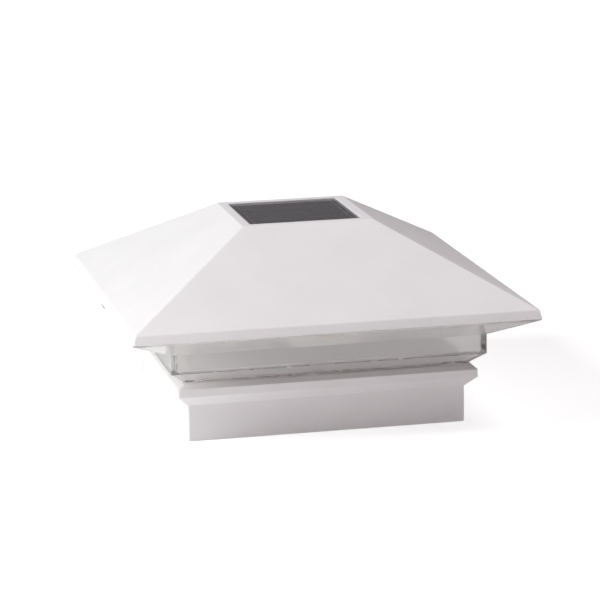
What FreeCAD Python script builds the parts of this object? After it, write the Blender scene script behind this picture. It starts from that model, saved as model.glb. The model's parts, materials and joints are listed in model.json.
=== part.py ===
import FreeCAD, Part
import math
import os

import Sketcher

# Solar deck post cap light for a 127 mm (5 inch) square hollow post, in millimetres.
# +Z is up and the front faces -Y.  The origin is the centre of the skirt's bottom edge.
# The head (roof, panel, ceiling plate and electronics) lifts off the lens ring, which is
# screwed to the base collar that slips over the post.

Vector = FreeCAD.Vector
DOCUMENT = FreeCAD.newDocument("post_cap_light")

# ---------------------------------------------------------------------------------------
# Driving dimensions: name, millimetres, meaning
# ---------------------------------------------------------------------------------------
DIMENSIONS = [
    ("skirt_half", 68.0, "half width of the skirt"),
    ("skirt_wall", 2.9, "wall of the skirt"),
    ("skirt_top", 17.7, "height where the skirt meets the moulding"),
    ("mould_half", 73.4, "half width of the moulding's upright band"),
    ("mould_low", 23.0, "lower edge of that band"),
    ("mould_high", 26.8, "upper edge of that band"),
    ("shoulder", 28.4, "height of the shoulder beside the lens"),
    ("neck_half", 69.5, "half width where the shoulder ends"),
    ("seat", 29.4, "top of the deck, which the lens stands on"),
    ("seat_half", 63.5, "half width of that raised deck"),
    ("pad_half", 67.5, "outside of the seat pads, which carry the lens flange's edge"),
    ("pad_corner", 57.0, "inner end of the corner pads, from both centre lines"),
    ("pad_left", -10.0, "left end of the small pad near the middle of a side"),
    ("pad_right", -4.0, "right end of that pad"),
    ("deck", 26.8, "underside of the deck, which rests on the post"),
    ("hollow_half", 69.6, "half width of the hollow behind the moulding"),
    ("hollow_low", 23.4, "lower edge of that hollow"),
    ("hollow_high", 24.6, "upper edge of that hollow"),
    ("edge_round", 1.2, "corner radius of the white mouldings"),
    ("inner_round", 0.8, "corner radius inside the mouldings"),
    ("rib_half", 64.3, "half gap between the ribs that hold the post"),
    ("rib_thick", 1.6, "thickness of those ribs"),
    ("rib_pitch", 36.0, "spacing of those ribs"),
    ("rib_start", 1.5, "height where those ribs begin"),
    ("rib_lead", 1.0, "lead-in at the foot of those ribs"),
    ("rib_root", 1.0, "how far those ribs reach into the moulding's wall"),
    ("root", 0.2, "how far a small rib, rail or post reaches into what carries it"),
    ("gate_x", -5.0, "place of the moulding gate's dimple across"),
    ("gate_y", -33.0, "place of that dimple front to back"),
    ("gate_radius", 4.2, "radius of that dimple"),
    ("gate_depth", 1.2, "depth of that dimple"),
    ("boss_place", 62.5, "lens screws, from both centre lines"),
    ("screw_hole", 1.7, "radius of the holes that the larger screws pass through"),
    ("sink_radius", 3.1, "radius of the countersinks under the deck"),
    ("snug", 0.05, "play of a screw or the seal in the plastic round it"),
    ("blind", 1.0, "plastic left at the end of a boss's pilot hole"),
    ("lens_wall_half", 76.9, "half width of the clear wall"),
    ("lens_wall_low", 35.3, "lower edge of the clear wall"),
    ("lens_wall_high", 44.7, "upper edge of the clear wall"),
    ("lens_thick", 2.4, "thickness of the clear moulding"),
    ("flare_half", 97.8, "half width of the clear soffit at the rim"),
    ("flare_top", 55.4, "ledge that the rim stands on"),
    ("upstand_half", 95.5, "outside half width of the lip inside the rim"),
    ("upstand_inner", 93.3, "inside half width of that lip"),
    ("upstand_top", 57.6, "top of that lip"),
    ("flange_hole", 58.8, "half width of the hole in the lens flange"),
    ("boss_radius", 3.7, "radius of the clear screw bosses"),
    ("boss_top", 34.4, "top of the clear screw bosses"),
    ("tab_near", 0.9, "lift tab, near end from the centre line"),
    ("tab_far", 8.1, "lift tab, far end from the centre line"),
    ("tab_low", 53.5, "lower edge of the lift tab"),
    ("tab_lean", 0.8, "how far the tab's inner face leans in"),
    ("rim_low", 55.5, "bottom of the roof's rim"),
    ("rim_half_low", 98.2, "half width of the rim at its bottom"),
    ("rim_high", 59.8, "top of the rim"),
    ("rim_half_high", 97.0, "half width of the rim at its top"),
    ("rim_inner", 95.8, "inside half width of the rim"),
    ("rim_round", 0.9, "reach of the rounding at the rim's top edge"),
    ("roof_top", 95.2, "top of the roof"),
    ("plateau_half", 32.5, "half width of the flat top"),
    ("roof_skin", 2.2, "thickness of the roof"),
    ("recess_half", 27.9, "half width of the panel recess"),
    ("recess_floor", 90.6, "floor of the panel recess"),
    ("recess_skin", 2.0, "thickness under that floor"),
    ("slot_half_x", 8.0, "half length of the wire slot"),
    ("slot_half_y", 3.5, "half width of the wire slot"),
    ("post_x", 75.0, "plate screws, across"),
    ("post_y", 60.0, "plate screws, front to back"),
    ("post_radius", 3.6, "radius of the roof's screw posts"),
    ("roof_rib", 1.6, "thickness of the roof's inner ribs"),
    ("roof_rib_in", 44.0, "inner end of those ribs"),
    ("roof_rib_out", 88.0, "outer end of those ribs"),
    ("roof_rib_drop", 6.0, "depth of those ribs at their inner end"),
    ("roof_rib_tail", 4.0, "length of the thin tail at their outer end"),
    ("roof_rib_thin", 0.6, "depth of that tail"),
    ("pilot", 1.3, "radius of the pilot holes"),
    ("post_pilot", 8.0, "depth of the pilot holes in the roof's posts"),
    ("tape_half", 27.0, "half width of the foam tape"),
    ("tape_hole", 20.0, "half width inside the foam tape"),
    ("tape_thick", 0.8, "thickness of the foam tape"),
    ("panel_half", 27.5, "half width of the solar panel"),
    ("backplate_thick", 1.2, "thickness of its backplate"),
    ("cell_thick", 0.3, "thickness of its cells"),
    ("cell_half", 26.0, "half length of a cell strip"),
    ("cell_width", 12.5, "width of a cell strip"),
    ("cell_gap", 0.5, "gap between cell strips"),
    ("ribbon_thick", 0.15, "thickness of the cell ribbons"),
    ("ribbon_half", 0.5, "half width of the cell ribbons"),
    ("ribbon_place", 24.4, "place of the cell ribbons across"),
    ("ribbon_short", 1.0, "how far the ribbons stop inside the outer strips' edges"),
    ("panel_face", 94.5, "face of the panel"),
    ("panel_edge", 0.3, "bevel round the panel's face"),
    ("plate_half", 92.5, "half width of the ceiling plate"),
    ("plate_low", 56.6, "underside of the ceiling plate"),
    ("plate_high", 58.6, "top of the ceiling plate"),
    ("plate_rib_half", 88.0, "half width of its stiffening rib"),
    ("plate_rib_top", 60.6, "top of its stiffening rib"),
    ("plate_rib_thick", 1.4, "thickness of its stiffening rib"),
    ("bay_y", 30.0, "centre line of the battery bay"),
    ("bay_half_x", 28.0, "half length inside the battery bay"),
    ("bay_half_y", 8.2, "half width inside the battery bay"),
    ("bay_top", 75.0, "height inside the battery bay"),
    ("bay_wall", 1.6, "wall of the battery bay"),
    ("seal_depth", 1.0, "depth of the seal's rebate"),
    ("rail_inner", 9.7, "rails, from the bay's centre line"),
    ("rail_outer", 11.7, "outside of the rails"),
    ("lip_inner", 8.4, "rail lips, from the bay's centre line"),
    ("lip_top", 54.6, "top of the rail lips"),
    ("rail_low", 53.1, "bottom of the rails"),
    ("rail_half_x", 31.0, "half length of the rails"),
    ("stop_thick", 1.7, "end stop of the rails"),
    ("solder_far", 5.0, "solder tabs, far edge from the bay's centre line"),
    ("solder_near", 2.0, "solder tabs, near edge from the bay's centre line"),
    ("solder_rise", 0.8, "height of the solder tabs above their sheet's lower edge"),
    ("solder_reach", 2.0, "how far the solder tabs stand out of the bay"),
    ("solder_play", 0.2, "play round a solder tab in its slot"),
    ("door_half_x", 30.7, "half length of the battery door"),
    ("door_half_y", 9.4, "half width of the battery door"),
    ("door_low", 54.9, "underside of the battery door"),
    ("door_high", 56.5, "top of the battery door"),
    ("grip_low", 54.3, "bottom of the door's grip ribs"),
    ("door_round", 0.6, "corner radius of the door"),
    ("grip_pitch", 2.4, "spacing of the grip ribs"),
    ("grip_end", 6.0, "first grip rib, from the door's end"),
    ("grip_half_x", 0.5, "half width of a grip rib"),
    ("grip_half_y", 5.0, "half length of a grip rib"),
    ("board_half_x", 25.0, "half length of the main board"),
    ("board_front", -38.0, "front edge of the main board"),
    ("board_back", -4.0, "back edge of the main board"),
    ("board_low", 61.6, "underside of the main board"),
    ("board_high", 63.2, "top of the main board"),
    ("pin_x", 20.0, "board posts, across"),
    ("pin_front", -33.0, "front board posts"),
    ("pin_back", -9.0, "back board posts"),
    ("pin_radius", 3.0, "radius of the posts that take the board's screws"),
    ("rest_radius", 2.0, "radius of the posts that the board only rests on"),
    ("board_pilot", 1.0, "radius of the holes in those posts"),
    ("board_pilot_deep", 4.2, "depth of those holes"),
    ("board_hole", 1.35, "radius of the holes in the main board"),
    ("switch_y", -30.0, "centre of the switch"),
    ("knob_slot_x", 3.4, "half length of the slot that the knob comes down through"),
    ("knob_slot_y", 1.7, "half width of that slot"),
    ("can_half_x", 6.4, "half length of the switch can"),
    ("can_half_y", 3.3, "half width of the switch can"),
    ("can_low", 58.7, "bottom of the switch can"),
    ("can_wall", 0.4, "sheet of the switch can"),
    ("can_slot_x", 3.1, "half length of the slot in the can"),
    ("can_slot_y", 1.6, "half width of the slot in the can"),
    ("knob_rest", -1.25, "place of the knob when off"),
    ("knob_half_x", 1.5, "half length of the knob"),
    ("knob_half_y", 1.3, "half width of the knob"),
    ("knob_low", 54.8, "tip of the knob"),
    ("shoe_half_x", 3.4, "half length of the knob's shoe"),
    ("shoe_half_y", 2.4, "half width of the knob's shoe"),
    ("shoe_low", 59.4, "bottom of the knob's shoe"),
    ("shoe_high", 60.6, "top of the knob's shoe"),
    ("led_board_half", 15.0, "half width of an LED board"),
    ("led_board_in", 65.0, "inner face of an LED board"),
    ("led_board_out", 66.2, "outer face of an LED board"),
    ("led_board_low", 45.2, "bottom of an LED board"),
    ("led_board_high", 56.5, "top of an LED board"),
    ("led_centre", 50.2, "height of an LED"),
    ("led_half", 2.5, "half width of an LED housing"),
    ("led_face", 67.7, "face of an LED housing"),
    ("led_cup", 2.1, "radius of an LED's cup"),
    ("led_dome", 2.0, "radius of an LED's dome"),
    ("led_bed", 66.9, "floor of an LED's cup"),
    ("guide_inner", 63.6, "inner side of the LED board guides"),
    ("guide_outer", 67.6, "outer side of the LED board guides"),
    ("guide_near", 13.5, "near end of a guide"),
    ("guide_far", 17.2, "far end of a guide"),
    ("guide_slot", 15.2, "end of the slot in a guide"),
    ("guide_play", 0.1, "play of an LED board in its slot"),
    ("guide_low", 46.5, "bottom of the guides"),
    ("wire_hole_half", 4.0, "half length of the holes that the LED wires go down"),
    ("wire_hole_wide", 2.4, "width of those holes"),
    ("cell_radius", 6.95, "radius of the battery's can"),
    ("sleeve_radius", 7.2, "radius over the battery's sleeve"),
    ("cell_axis", 66.6, "height of the battery's axis"),
    ("cell_start", -26.2, "positive shoulder of the battery"),
    ("cell_end", 23.3, "negative end of the battery"),
    ("nub_start", -27.2, "tip of the battery's nub"),
    ("nub_radius", 2.7, "radius of the nub"),
    ("contact_thick", 0.5, "sheet of the contacts"),
    ("contact_half_y", 6.5, "half width of the contacts"),
    ("contact_half_z", 5.5, "half height of the contacts"),
    ("contact_round", 1.0, "corner radius of the contacts"),
    ("dimple_radius", 1.8, "radius of the positive contact's dimple"),
    ("wire_radius", 0.6, "radius of the inner wires"),
]


# ---------------------------------------------------------------------------------------
# Sizes: a number together with the sheet expression that gives it
# ---------------------------------------------------------------------------------------
class Size:
    """A length that knows its number and the sheet expression it comes from."""

    def __init__(self, number, text):
        self.number = float(number)
        self.text = text

    @staticmethod
    def of(other):
        """Takes a plain number as a Size."""
        return other if isinstance(other, Size) else Size(other, repr(float(other)))

    def join(self, other, sign, number):
        return Size(number, f"({self.text} {sign} {other.text})")

    def __add__(self, other):
        other = Size.of(other)
        return self.join(other, "+", self.number + other.number)

    def __sub__(self, other):
        other = Size.of(other)
        return self.join(other, "-", self.number - other.number)

    def __mul__(self, other):
        other = Size.of(other)
        return self.join(other, "*", self.number * other.number)

    def __truediv__(self, other):
        other = Size.of(other)
        return self.join(other, "/", self.number / other.number)

    def __neg__(self):
        return Size(-self.number, f"(-1 * {self.text})")

    def root(self):
        """The square root of a plain ratio."""
        return Size(math.sqrt(self.number), f"sqrt({self.text})")


class Sheet:
    """The spreadsheet of driving dimensions; each one is read as an attribute."""

    def __init__(self, rows):
        self.sheet = DOCUMENT.addObject("Spreadsheet::Sheet", "Sizes")
        for row, (alias, number, meaning) in enumerate(rows, start=1):
            self.sheet.set(f"A{row}", meaning)
            self.sheet.set(f"B{row}", str(number))
            self.sheet.setAlias(f"B{row}", alias)
            setattr(self, alias, Size(number, f"Sizes.{alias}"))
        DOCUMENT.recompute()


S = Sheet(DIMENSIONS)
ZERO = Size.of(0)


# ---------------------------------------------------------------------------------------
# Sketches
# ---------------------------------------------------------------------------------------
def new_body(label, several=False):
    """A sub-part; several says that it is a group of separate solids."""
    body = DOCUMENT.addObject("PartDesign::Body", label)
    body.Label = label
    body.AllowCompound = several
    return body


def origin_feature(body, role):
    return next(item for item in body.Origin.OriginFeatures if item.Role == role)


def new_sketch(body, name, plane, across=ZERO, up=ZERO, out=ZERO):
    """A sketch on one of the body's own planes, moved along the plane's own axes."""
    sketch = body.newObject("Sketcher::SketchObject", name)
    sketch.AttachmentSupport = [(origin_feature(body, plane), "")]
    sketch.MapMode = "FlatFace"
    shift = Vector(across.number, up.number, out.number)
    sketch.AttachmentOffset = FreeCAD.Placement(shift, FreeCAD.Rotation())
    for letter, size in zip("xyz", (across, up, out)):
        if size is not ZERO:
            sketch.setExpression(f".AttachmentOffset.Base.{letter}", size.text)
    return sketch


def level_sketch(body, name, height):
    """A level sketch at a height."""
    return new_sketch(body, name, "XY_Plane", out=height)


def bind(sketch, constraint, size):
    """Adds a dimension and ties it to the sheet."""
    index = sketch.addConstraint(constraint)
    name = f"size{index}"
    sketch.renameConstraint(index, name)
    sketch.setExpression(f"Constraints.{name}", size.text)


def place_point(sketch, line, end, across, up):
    bind(sketch, Sketcher.Constraint("DistanceX", -1, 1, line, end, across.number), across)
    bind(sketch, Sketcher.Constraint("DistanceY", -1, 1, line, end, up.number), up)


def draw_polygon(sketch, points):
    """A closed outline through points, each a pair of sizes."""
    corners = [(Size.of(x), Size.of(y)) for x, y in points]
    lines = []
    for (x, y), (next_x, next_y) in zip(corners, corners[1:] + corners[:1]):
        start = Vector(x.number, y.number, 0)
        end = Vector(next_x.number, next_y.number, 0)
        lines.append(sketch.addGeometry(Part.LineSegment(start, end), False))
    for line, follower in zip(lines, lines[1:] + lines[:1]):
        sketch.addConstraint(Sketcher.Constraint("Coincident", line, 2, follower, 1))
    for line, (x, y) in zip(lines, corners):
        place_point(sketch, line, 1, x, y)


def draw_box(sketch, left, right, low, high):
    draw_polygon(sketch, [(left, low), (right, low), (right, high), (left, high)])


def draw_rounded_box(sketch, left, right, low, high, corner):
    """A rectangle with round corners, its four sides and its radius tied to sizes."""
    radius = corner.number
    x = (left.number + radius, right.number - radius)
    y = (low.number + radius, high.number - radius)
    sides = [
        Part.LineSegment(Vector(x[0], low.number, 0), Vector(x[1], low.number, 0)),
        Part.LineSegment(Vector(right.number, y[0], 0), Vector(right.number, y[1], 0)),
        Part.LineSegment(Vector(x[1], high.number, 0), Vector(x[0], high.number, 0)),
        Part.LineSegment(Vector(left.number, y[1], 0), Vector(left.number, y[0], 0)),
    ]
    centres = [(x[1], y[0]), (x[1], y[1]), (x[0], y[1]), (x[0], y[0])]
    lines = [sketch.addGeometry(side, False) for side in sides]
    arcs = []
    for quarter, (centre_x, centre_y) in enumerate(centres, start=-1):
        circle = Part.Circle(Vector(centre_x, centre_y, 0), Vector(0, 0, 1), radius)
        start = quarter * math.pi / 2
        arcs.append(sketch.addGeometry(Part.ArcOfCircle(circle, start, start + math.pi / 2), False))
    for index in range(4):
        follower = lines[(index + 1) % 4]
        sketch.addConstraint(Sketcher.Constraint("Tangent", lines[index], 2, arcs[index], 1))
        sketch.addConstraint(Sketcher.Constraint("Tangent", arcs[index], 2, follower, 1))
    for line, direction in zip(lines, ("Horizontal", "Vertical", "Horizontal", "Vertical")):
        sketch.addConstraint(Sketcher.Constraint(direction, line))
    for first, second in zip(arcs, arcs[1:]):
        sketch.addConstraint(Sketcher.Constraint("Equal", first, second))
    bind(sketch, Sketcher.Constraint("Radius", arcs[0], radius), corner)
    bind(sketch, Sketcher.Constraint("DistanceX", -1, 1, lines[1], 1, right.number), right)
    bind(sketch, Sketcher.Constraint("DistanceX", -1, 1, lines[3], 1, left.number), left)
    bind(sketch, Sketcher.Constraint("DistanceY", -1, 1, lines[2], 1, high.number), high)
    bind(sketch, Sketcher.Constraint("DistanceY", -1, 1, lines[0], 1, low.number), low)


def draw_square(sketch, half, corner=None):
    """A square about the sketch's origin."""
    if corner is None:
        draw_box(sketch, -half, half, -half, half)
    else:
        draw_rounded_box(sketch, -half, half, -half, half, corner)


def draw_circle(sketch, across, up, radius):
    across, up, radius = Size.of(across), Size.of(up), Size.of(radius)
    centre = Vector(across.number, up.number, 0)
    circle = sketch.addGeometry(Part.Circle(centre, Vector(0, 0, 1), radius.number), False)
    bind(sketch, Sketcher.Constraint("Radius", circle, radius.number), radius)
    place_point(sketch, circle, 3, across, up)


# ---------------------------------------------------------------------------------------
# Features
# ---------------------------------------------------------------------------------------
def pad(body, name, sketch, length, backwards=False, centred=False):
    feature = body.newObject("PartDesign::Pad", name)
    feature.Profile = sketch
    feature.setExpression("Length", length.text)
    feature.Reversed = backwards
    feature.Midplane = centred
    body.Tip = feature
    return feature


def cut_checked(body, feature, before):
    """Recomputes a cutting feature and makes sure that it took material away."""
    body.Tip = feature
    DOCUMENT.recompute()
    if feature.Shape.Volume > before - 1e-4:
        raise RuntimeError(f"{body.Label}: {feature.Name} cuts nothing")
    return feature


def volume_of(body):
    DOCUMENT.recompute()
    return body.Tip.Shape.Volume


def pocket(body, name, sketch, depth, upwards=False):
    """A pocket against the sketch's normal, or along it when upwards is set."""
    before = volume_of(body)
    feature = body.newObject("PartDesign::Pocket", name)
    feature.Profile = sketch
    feature.setExpression("Length", depth.text)
    feature.Reversed = upwards
    return cut_checked(body, feature, before)


def square_sections(body, name, sections, corner):
    """Level square sketches, one for each pair of height and half width."""
    sketches = []
    for index, (height, half) in enumerate(sections):
        sketch = level_sketch(body, f"{name}_{index}", height)
        draw_square(sketch, half, corner)
        sketches.append(sketch)
    return sketches


def square_loft(body, name, sections, corner):
    """A solid with a square plan through level sections."""
    sketches = square_sections(body, name, sections, corner)
    feature = body.newObject("PartDesign::AdditiveLoft", name)
    feature.Profile = sketches[0]
    feature.Sections = sketches[1:]
    feature.Ruled = True
    body.Tip = feature
    return feature


def hollow_loft(body, name, sections, corner):
    """Takes a hollow with a square plan out of the body."""
    before = volume_of(body)
    sketches = square_sections(body, name, sections, corner)
    feature = body.newObject("PartDesign::SubtractiveLoft", name)
    feature.Profile = sketches[0]
    feature.Sections = sketches[1:]
    feature.Ruled = True
    return cut_checked(body, feature, before)


def on_four_sides(body, name, features):
    """Repeats features at each quarter turn about the upright axis."""
    pattern = body.newObject("PartDesign::PolarPattern", name)
    pattern.Originals = features
    pattern.Axis = (origin_feature(body, "Z_Axis"), [""])
    pattern.Angle = 360
    pattern.Occurrences = 4
    body.Tip = pattern
    return pattern


def revolve(body, name, sketch):
    """A full turn about the sketch's own upright axis."""
    feature = body.newObject("PartDesign::Revolution", name)
    feature.Profile = sketch
    feature.ReferenceAxis = (sketch, ["V_Axis"])
    feature.Angle = 360
    body.Tip = feature
    return feature


def four_corners(x, y):
    return [(x, y), (-x, y), (-x, -y), (x, -y)]


# ---------------------------------------------------------------------------------------
# Heights on the roof
# ---------------------------------------------------------------------------------------
ROOF_SLOPE = (S.roof_top - S.rim_high) / (S.rim_half_high - S.plateau_half)
SKIN_DROP = S.roof_skin * (ROOF_SLOPE * ROOF_SLOPE + 1).root()


def roof_inside(half):
    """Height of the roof's inner face at a distance from the middle."""
    return S.roof_top - (half - S.plateau_half) * ROOF_SLOPE - SKIN_DROP


# ---------------------------------------------------------------------------------------
# Base
# ---------------------------------------------------------------------------------------
# The skirt flares out at 45 degrees; a wall of even thickness turns that much later inside.
FLARE_SHIFT = math.tan(math.radians(45 / 2))


def base_collar():
    """Skirt, moulding and deck in one white moulding, hollow from below."""
    body = new_body("base_collar")
    outside = [
        (ZERO, S.skirt_half),
        (S.skirt_top, S.skirt_half),
        (S.mould_low, S.mould_half),
        (S.mould_high, S.mould_half),
        (S.shoulder, S.neck_half),
    ]
    square_loft(body, "collar_outside", outside, S.edge_round)
    raised = level_sketch(body, "raised_deck", S.shoulder)
    draw_square(raised, S.seat_half, S.edge_round)
    pad(body, "deck_seat", raised, S.seat - S.shoulder)
    on_four_sides(body, "all_seat_pads", [seat_pads(body)])
    socket = S.skirt_half - S.skirt_wall
    narrow = S.skirt_top + S.skirt_wall * FLARE_SHIFT
    inside = [
        (ZERO, socket),
        (narrow, socket),
        (S.hollow_low, S.hollow_half),
        (S.hollow_high, S.hollow_half),
        (S.deck, socket),
    ]
    hollow_loft(body, "collar_inside", inside, S.inner_round)
    on_four_sides(body, "all_post_ribs", post_ribs(body, narrow))
    gate = level_sketch(body, "gate_outline", S.seat)
    draw_circle(gate, S.gate_x, S.gate_y, S.gate_radius)
    pocket(body, "gate_dimple", gate, S.gate_depth)
    deck_screw_holes(body)
    return body


def seat_pads(body):
    """A corner pad and the small pad of one side; the lens stands clear between them."""
    sketch = level_sketch(body, "seat_pad_outlines", S.shoulder)
    draw_box(sketch, S.pad_corner, S.pad_half, -S.pad_half, -S.pad_corner)
    draw_box(sketch, S.pad_left, S.pad_right, -S.pad_half, -S.seat_half + 1)
    return pad(body, "seat_pads", sketch, S.seat - S.shoulder)


def post_ribs(body, narrow):
    """Three upright ribs on one side that take up the play round the post."""
    inside_wall = S.skirt_half - S.skirt_wall / 2
    outline = [
        (S.rib_half, S.rib_start + S.rib_lead),
        (S.rib_half + S.rib_lead, S.rib_start),
        (inside_wall, S.rib_start),
        (inside_wall, narrow),
        (S.hollow_half + S.rib_root, S.hollow_low),
        (S.hollow_half + S.rib_root, S.hollow_high),
        (inside_wall, S.deck + S.root),
        (S.rib_half, S.deck + S.root),
    ]
    ribs = []
    for index in (-1, 0, 1):
        name = f"post_rib_{index + 2}"
        sketch = new_sketch(body, f"{name}_outline", "XZ_Plane", out=S.rib_pitch * index)
        draw_polygon(sketch, outline)
        ribs.append(pad(body, name, sketch, S.rib_thick, centred=True))
    return ribs


def deck_screw_holes(body):
    """Countersunk holes for the lens screws, drilled up from below."""
    before = volume_of(body)
    sketch = level_sketch(body, "deck_screws_outline", S.deck)
    for x, y in four_corners(S.boss_place, S.boss_place):
        draw_circle(sketch, x, y, S.screw_hole)
    hole = body.newObject("PartDesign::Hole", "deck_screw_holes")
    hole.Profile = sketch
    DOCUMENT.recompute()
    hole.setExpression("Diameter", (S.screw_hole * 2).text)
    hole.DepthType = "ThroughAll"
    hole.HoleCutType = "Countersink"
    hole.setExpression("HoleCutDiameter", (S.sink_radius * 2).text)
    hole.HoleCutCountersinkAngle = 90
    hole.Reversed = True
    cut_checked(body, hole, before)


# ---------------------------------------------------------------------------------------
# Lens
# ---------------------------------------------------------------------------------------
def lens_ring():
    """Clear ring: chamfer, upright wall and flared soffit, with a lip inside the rim."""
    body = new_body("lens_ring")
    outside = [
        (S.seat, S.neck_half),
        (S.lens_wall_low, S.lens_wall_half),
        (S.lens_wall_high, S.lens_wall_half),
        (S.flare_top, S.flare_half),
    ]
    square_loft(body, "lens_outside", outside, S.edge_round)
    lip = level_sketch(body, "lip_outline", S.flare_top)
    draw_square(lip, S.upstand_half, S.edge_round)
    pad(body, "lip", lip, S.upstand_top - S.flare_top)
    hollow_loft(body, "lens_inside", lens_hollow(), S.inner_round)
    opening = level_sketch(body, "flange_opening", S.seat)
    draw_square(opening, S.flange_hole, S.edge_round)
    pocket(body, "flange_hole_cut", opening, S.lens_thick, upwards=True)
    floor = level_sketch(body, "boss_outline", S.seat + S.lens_thick / 2)
    for x, y in four_corners(S.boss_place, S.boss_place):
        draw_circle(floor, x, y, S.boss_radius)
    pad(body, "bosses", floor, S.boss_top - S.seat - S.lens_thick / 2)
    drill = level_sketch(body, "pilot_outline", S.seat)
    for x, y in four_corners(S.boss_place, S.boss_place):
        draw_circle(drill, x, y, S.pilot)
    pocket(body, "pilot_holes", drill, S.boss_top - S.seat - S.blind, upwards=True)
    on_four_sides(body, "all_lift_tabs", [lift_tab(body)])
    return body


def lens_hollow():
    """Inner sections of the lens: the outside moved in by its thickness."""
    wall = S.lens_wall_half - S.lens_thick
    floor = S.seat + S.lens_thick
    chamfer_run = S.lens_wall_half - S.neck_half
    chamfer_rise = S.lens_wall_low - S.seat
    chamfer_long = (chamfer_run * chamfer_run + chamfer_rise * chamfer_rise).root()
    chamfer_shift = S.lens_thick * chamfer_long / chamfer_rise
    flare_run = S.flare_half - S.lens_wall_half
    flare_rise = S.flare_top - S.lens_wall_high
    flare_long = (flare_run * flare_run + flare_rise * flare_rise).root()
    flare_lift = S.lens_thick * flare_long / flare_run
    floor_half = S.neck_half + (floor - S.seat) * chamfer_run / chamfer_rise - chamfer_shift
    wall_low = floor + (wall - floor_half) * chamfer_rise / chamfer_run
    wall_high = S.lens_wall_high + flare_lift - S.lens_thick * flare_rise / flare_run
    lip_low = wall_high + (S.upstand_inner - wall) * flare_rise / flare_run
    return [
        (floor, floor_half),
        (wall_low, wall),
        (wall_high, wall),
        (lip_low, S.upstand_inner),
        (S.upstand_top, S.upstand_inner),
    ]


def lift_tab(body):
    """Small clear block under the rim, a little right of the middle of a side."""
    flare_slope = (S.flare_top - S.lens_wall_high) / (S.flare_half - S.lens_wall_half)
    depth = (S.flare_top - S.tab_low) / flare_slope
    outline = [
        (S.flare_half, S.tab_low),
        (S.flare_half, S.flare_top),
        (S.flare_half - depth, S.flare_top),
        (S.flare_half - depth - S.tab_lean, S.tab_low),
    ]
    # Drawn on the right side, where the near end lies towards the back.
    sketch = new_sketch(body, "lift_tab_outline", "XZ_Plane", out=-S.tab_near)
    draw_polygon(sketch, outline)
    return pad(body, "lift_tab", sketch, S.tab_far - S.tab_near, backwards=True)


def screw(body, name, x, y, profile):
    """One screw turned about an upright axis at a place, from its half profile."""
    sketch = new_sketch(body, f"{name}_profile", "XZ_Plane", across=x, out=-y)
    draw_polygon(sketch, profile)
    return revolve(body, name, sketch)


def cross_recess(body, name, x, y, face, depth, upwards):
    """The cross that a driver turns: two crossed slots cut into a head."""
    long, wide = 1.2, 0.3
    for turn, (half_x, half_y) in enumerate(((long, wide), (wide, long))):
        sketch = level_sketch(body, f"{name}_slot_{turn}", face)
        draw_box(sketch, x - half_x, x + half_x, y - half_y, y + half_y)
        pocket(body, f"{name}_recess_{turn}", sketch, Size.of(depth), upwards=upwards)


def lens_screws():
    """Four countersunk screws up through the deck into the clear bosses."""
    body = new_body("lens_screws", several=True)
    head = S.deck + S.snug
    head_radius = 2.9
    cone, point, gap = 1.7, 1.0, 0.4
    tip = S.boss_top - S.blind - gap
    shank = S.pilot - S.snug
    profile = [
        (ZERO, head),
        (head_radius, head),
        (shank, head + cone),
        (shank, tip - point),
        (ZERO, tip),
    ]
    places = four_corners(S.boss_place, S.boss_place)
    for index, (x, y) in enumerate(places):
        screw(body, f"lens_screw_{index}", x, y, profile)
    for index, (x, y) in enumerate(places):
        cross_recess(body, f"lens_screw_{index}", x, y, head, depth=1.0, upwards=True)
    return body


# ---------------------------------------------------------------------------------------
# Roof
# ---------------------------------------------------------------------------------------
def roof_shell():
    """Hollow pyramid roof with its rim, panel recess, screw posts and inner ribs."""
    body = new_body("roof_shell")
    outside = [(S.rim_low, S.rim_half_low), *rim_rounding(), (S.roof_top, S.plateau_half)]
    square_loft(body, "roof_outside", outside, S.edge_round)
    top_inside = S.recess_floor - S.recess_skin
    top_half = S.plateau_half + (S.roof_top - SKIN_DROP - top_inside) / ROOF_SLOPE
    inside = [
        (S.rim_low, S.rim_inner),
        (roof_inside(S.rim_inner), S.rim_inner),
        (top_inside, top_half),
    ]
    hollow_loft(body, "roof_inside", inside, S.inner_round)
    recess = level_sketch(body, "recess_outline", S.roof_top)
    draw_square(recess, S.recess_half, S.inner_round)
    pocket(body, "panel_recess", recess, S.roof_top - S.recess_floor)
    slot = level_sketch(body, "slot_outline", S.recess_floor)
    draw_box(slot, -S.slot_half_x, S.slot_half_x, -S.slot_half_y, S.slot_half_y)
    pocket(body, "wire_slot", slot, S.recess_skin)
    screw_posts(body)
    on_four_sides(body, "all_roof_ribs", [roof_rib(body)])
    return body


def rim_rounding():
    """Sections round the edge where the rim turns into the slopes."""
    rim_run = (S.rim_half_low - S.rim_half_high) / (S.rim_high - S.rim_low)
    low = (S.rim_high - S.rim_round, S.rim_half_high + S.rim_round * rim_run)
    high = (S.rim_high + S.rim_round * ROOF_SLOPE, S.rim_half_high - S.rim_round)
    sections = []
    steps = 4
    for step in range(steps + 1):
        part = step / steps
        near, middle, far = (1 - part) ** 2, 2 * part * (1 - part), part ** 2
        height = low[0] * near + S.rim_high * middle + high[0] * far
        half = low[1] * near + S.rim_half_high * middle + high[1] * far
        sections.append((height, half))
    return sections


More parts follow.
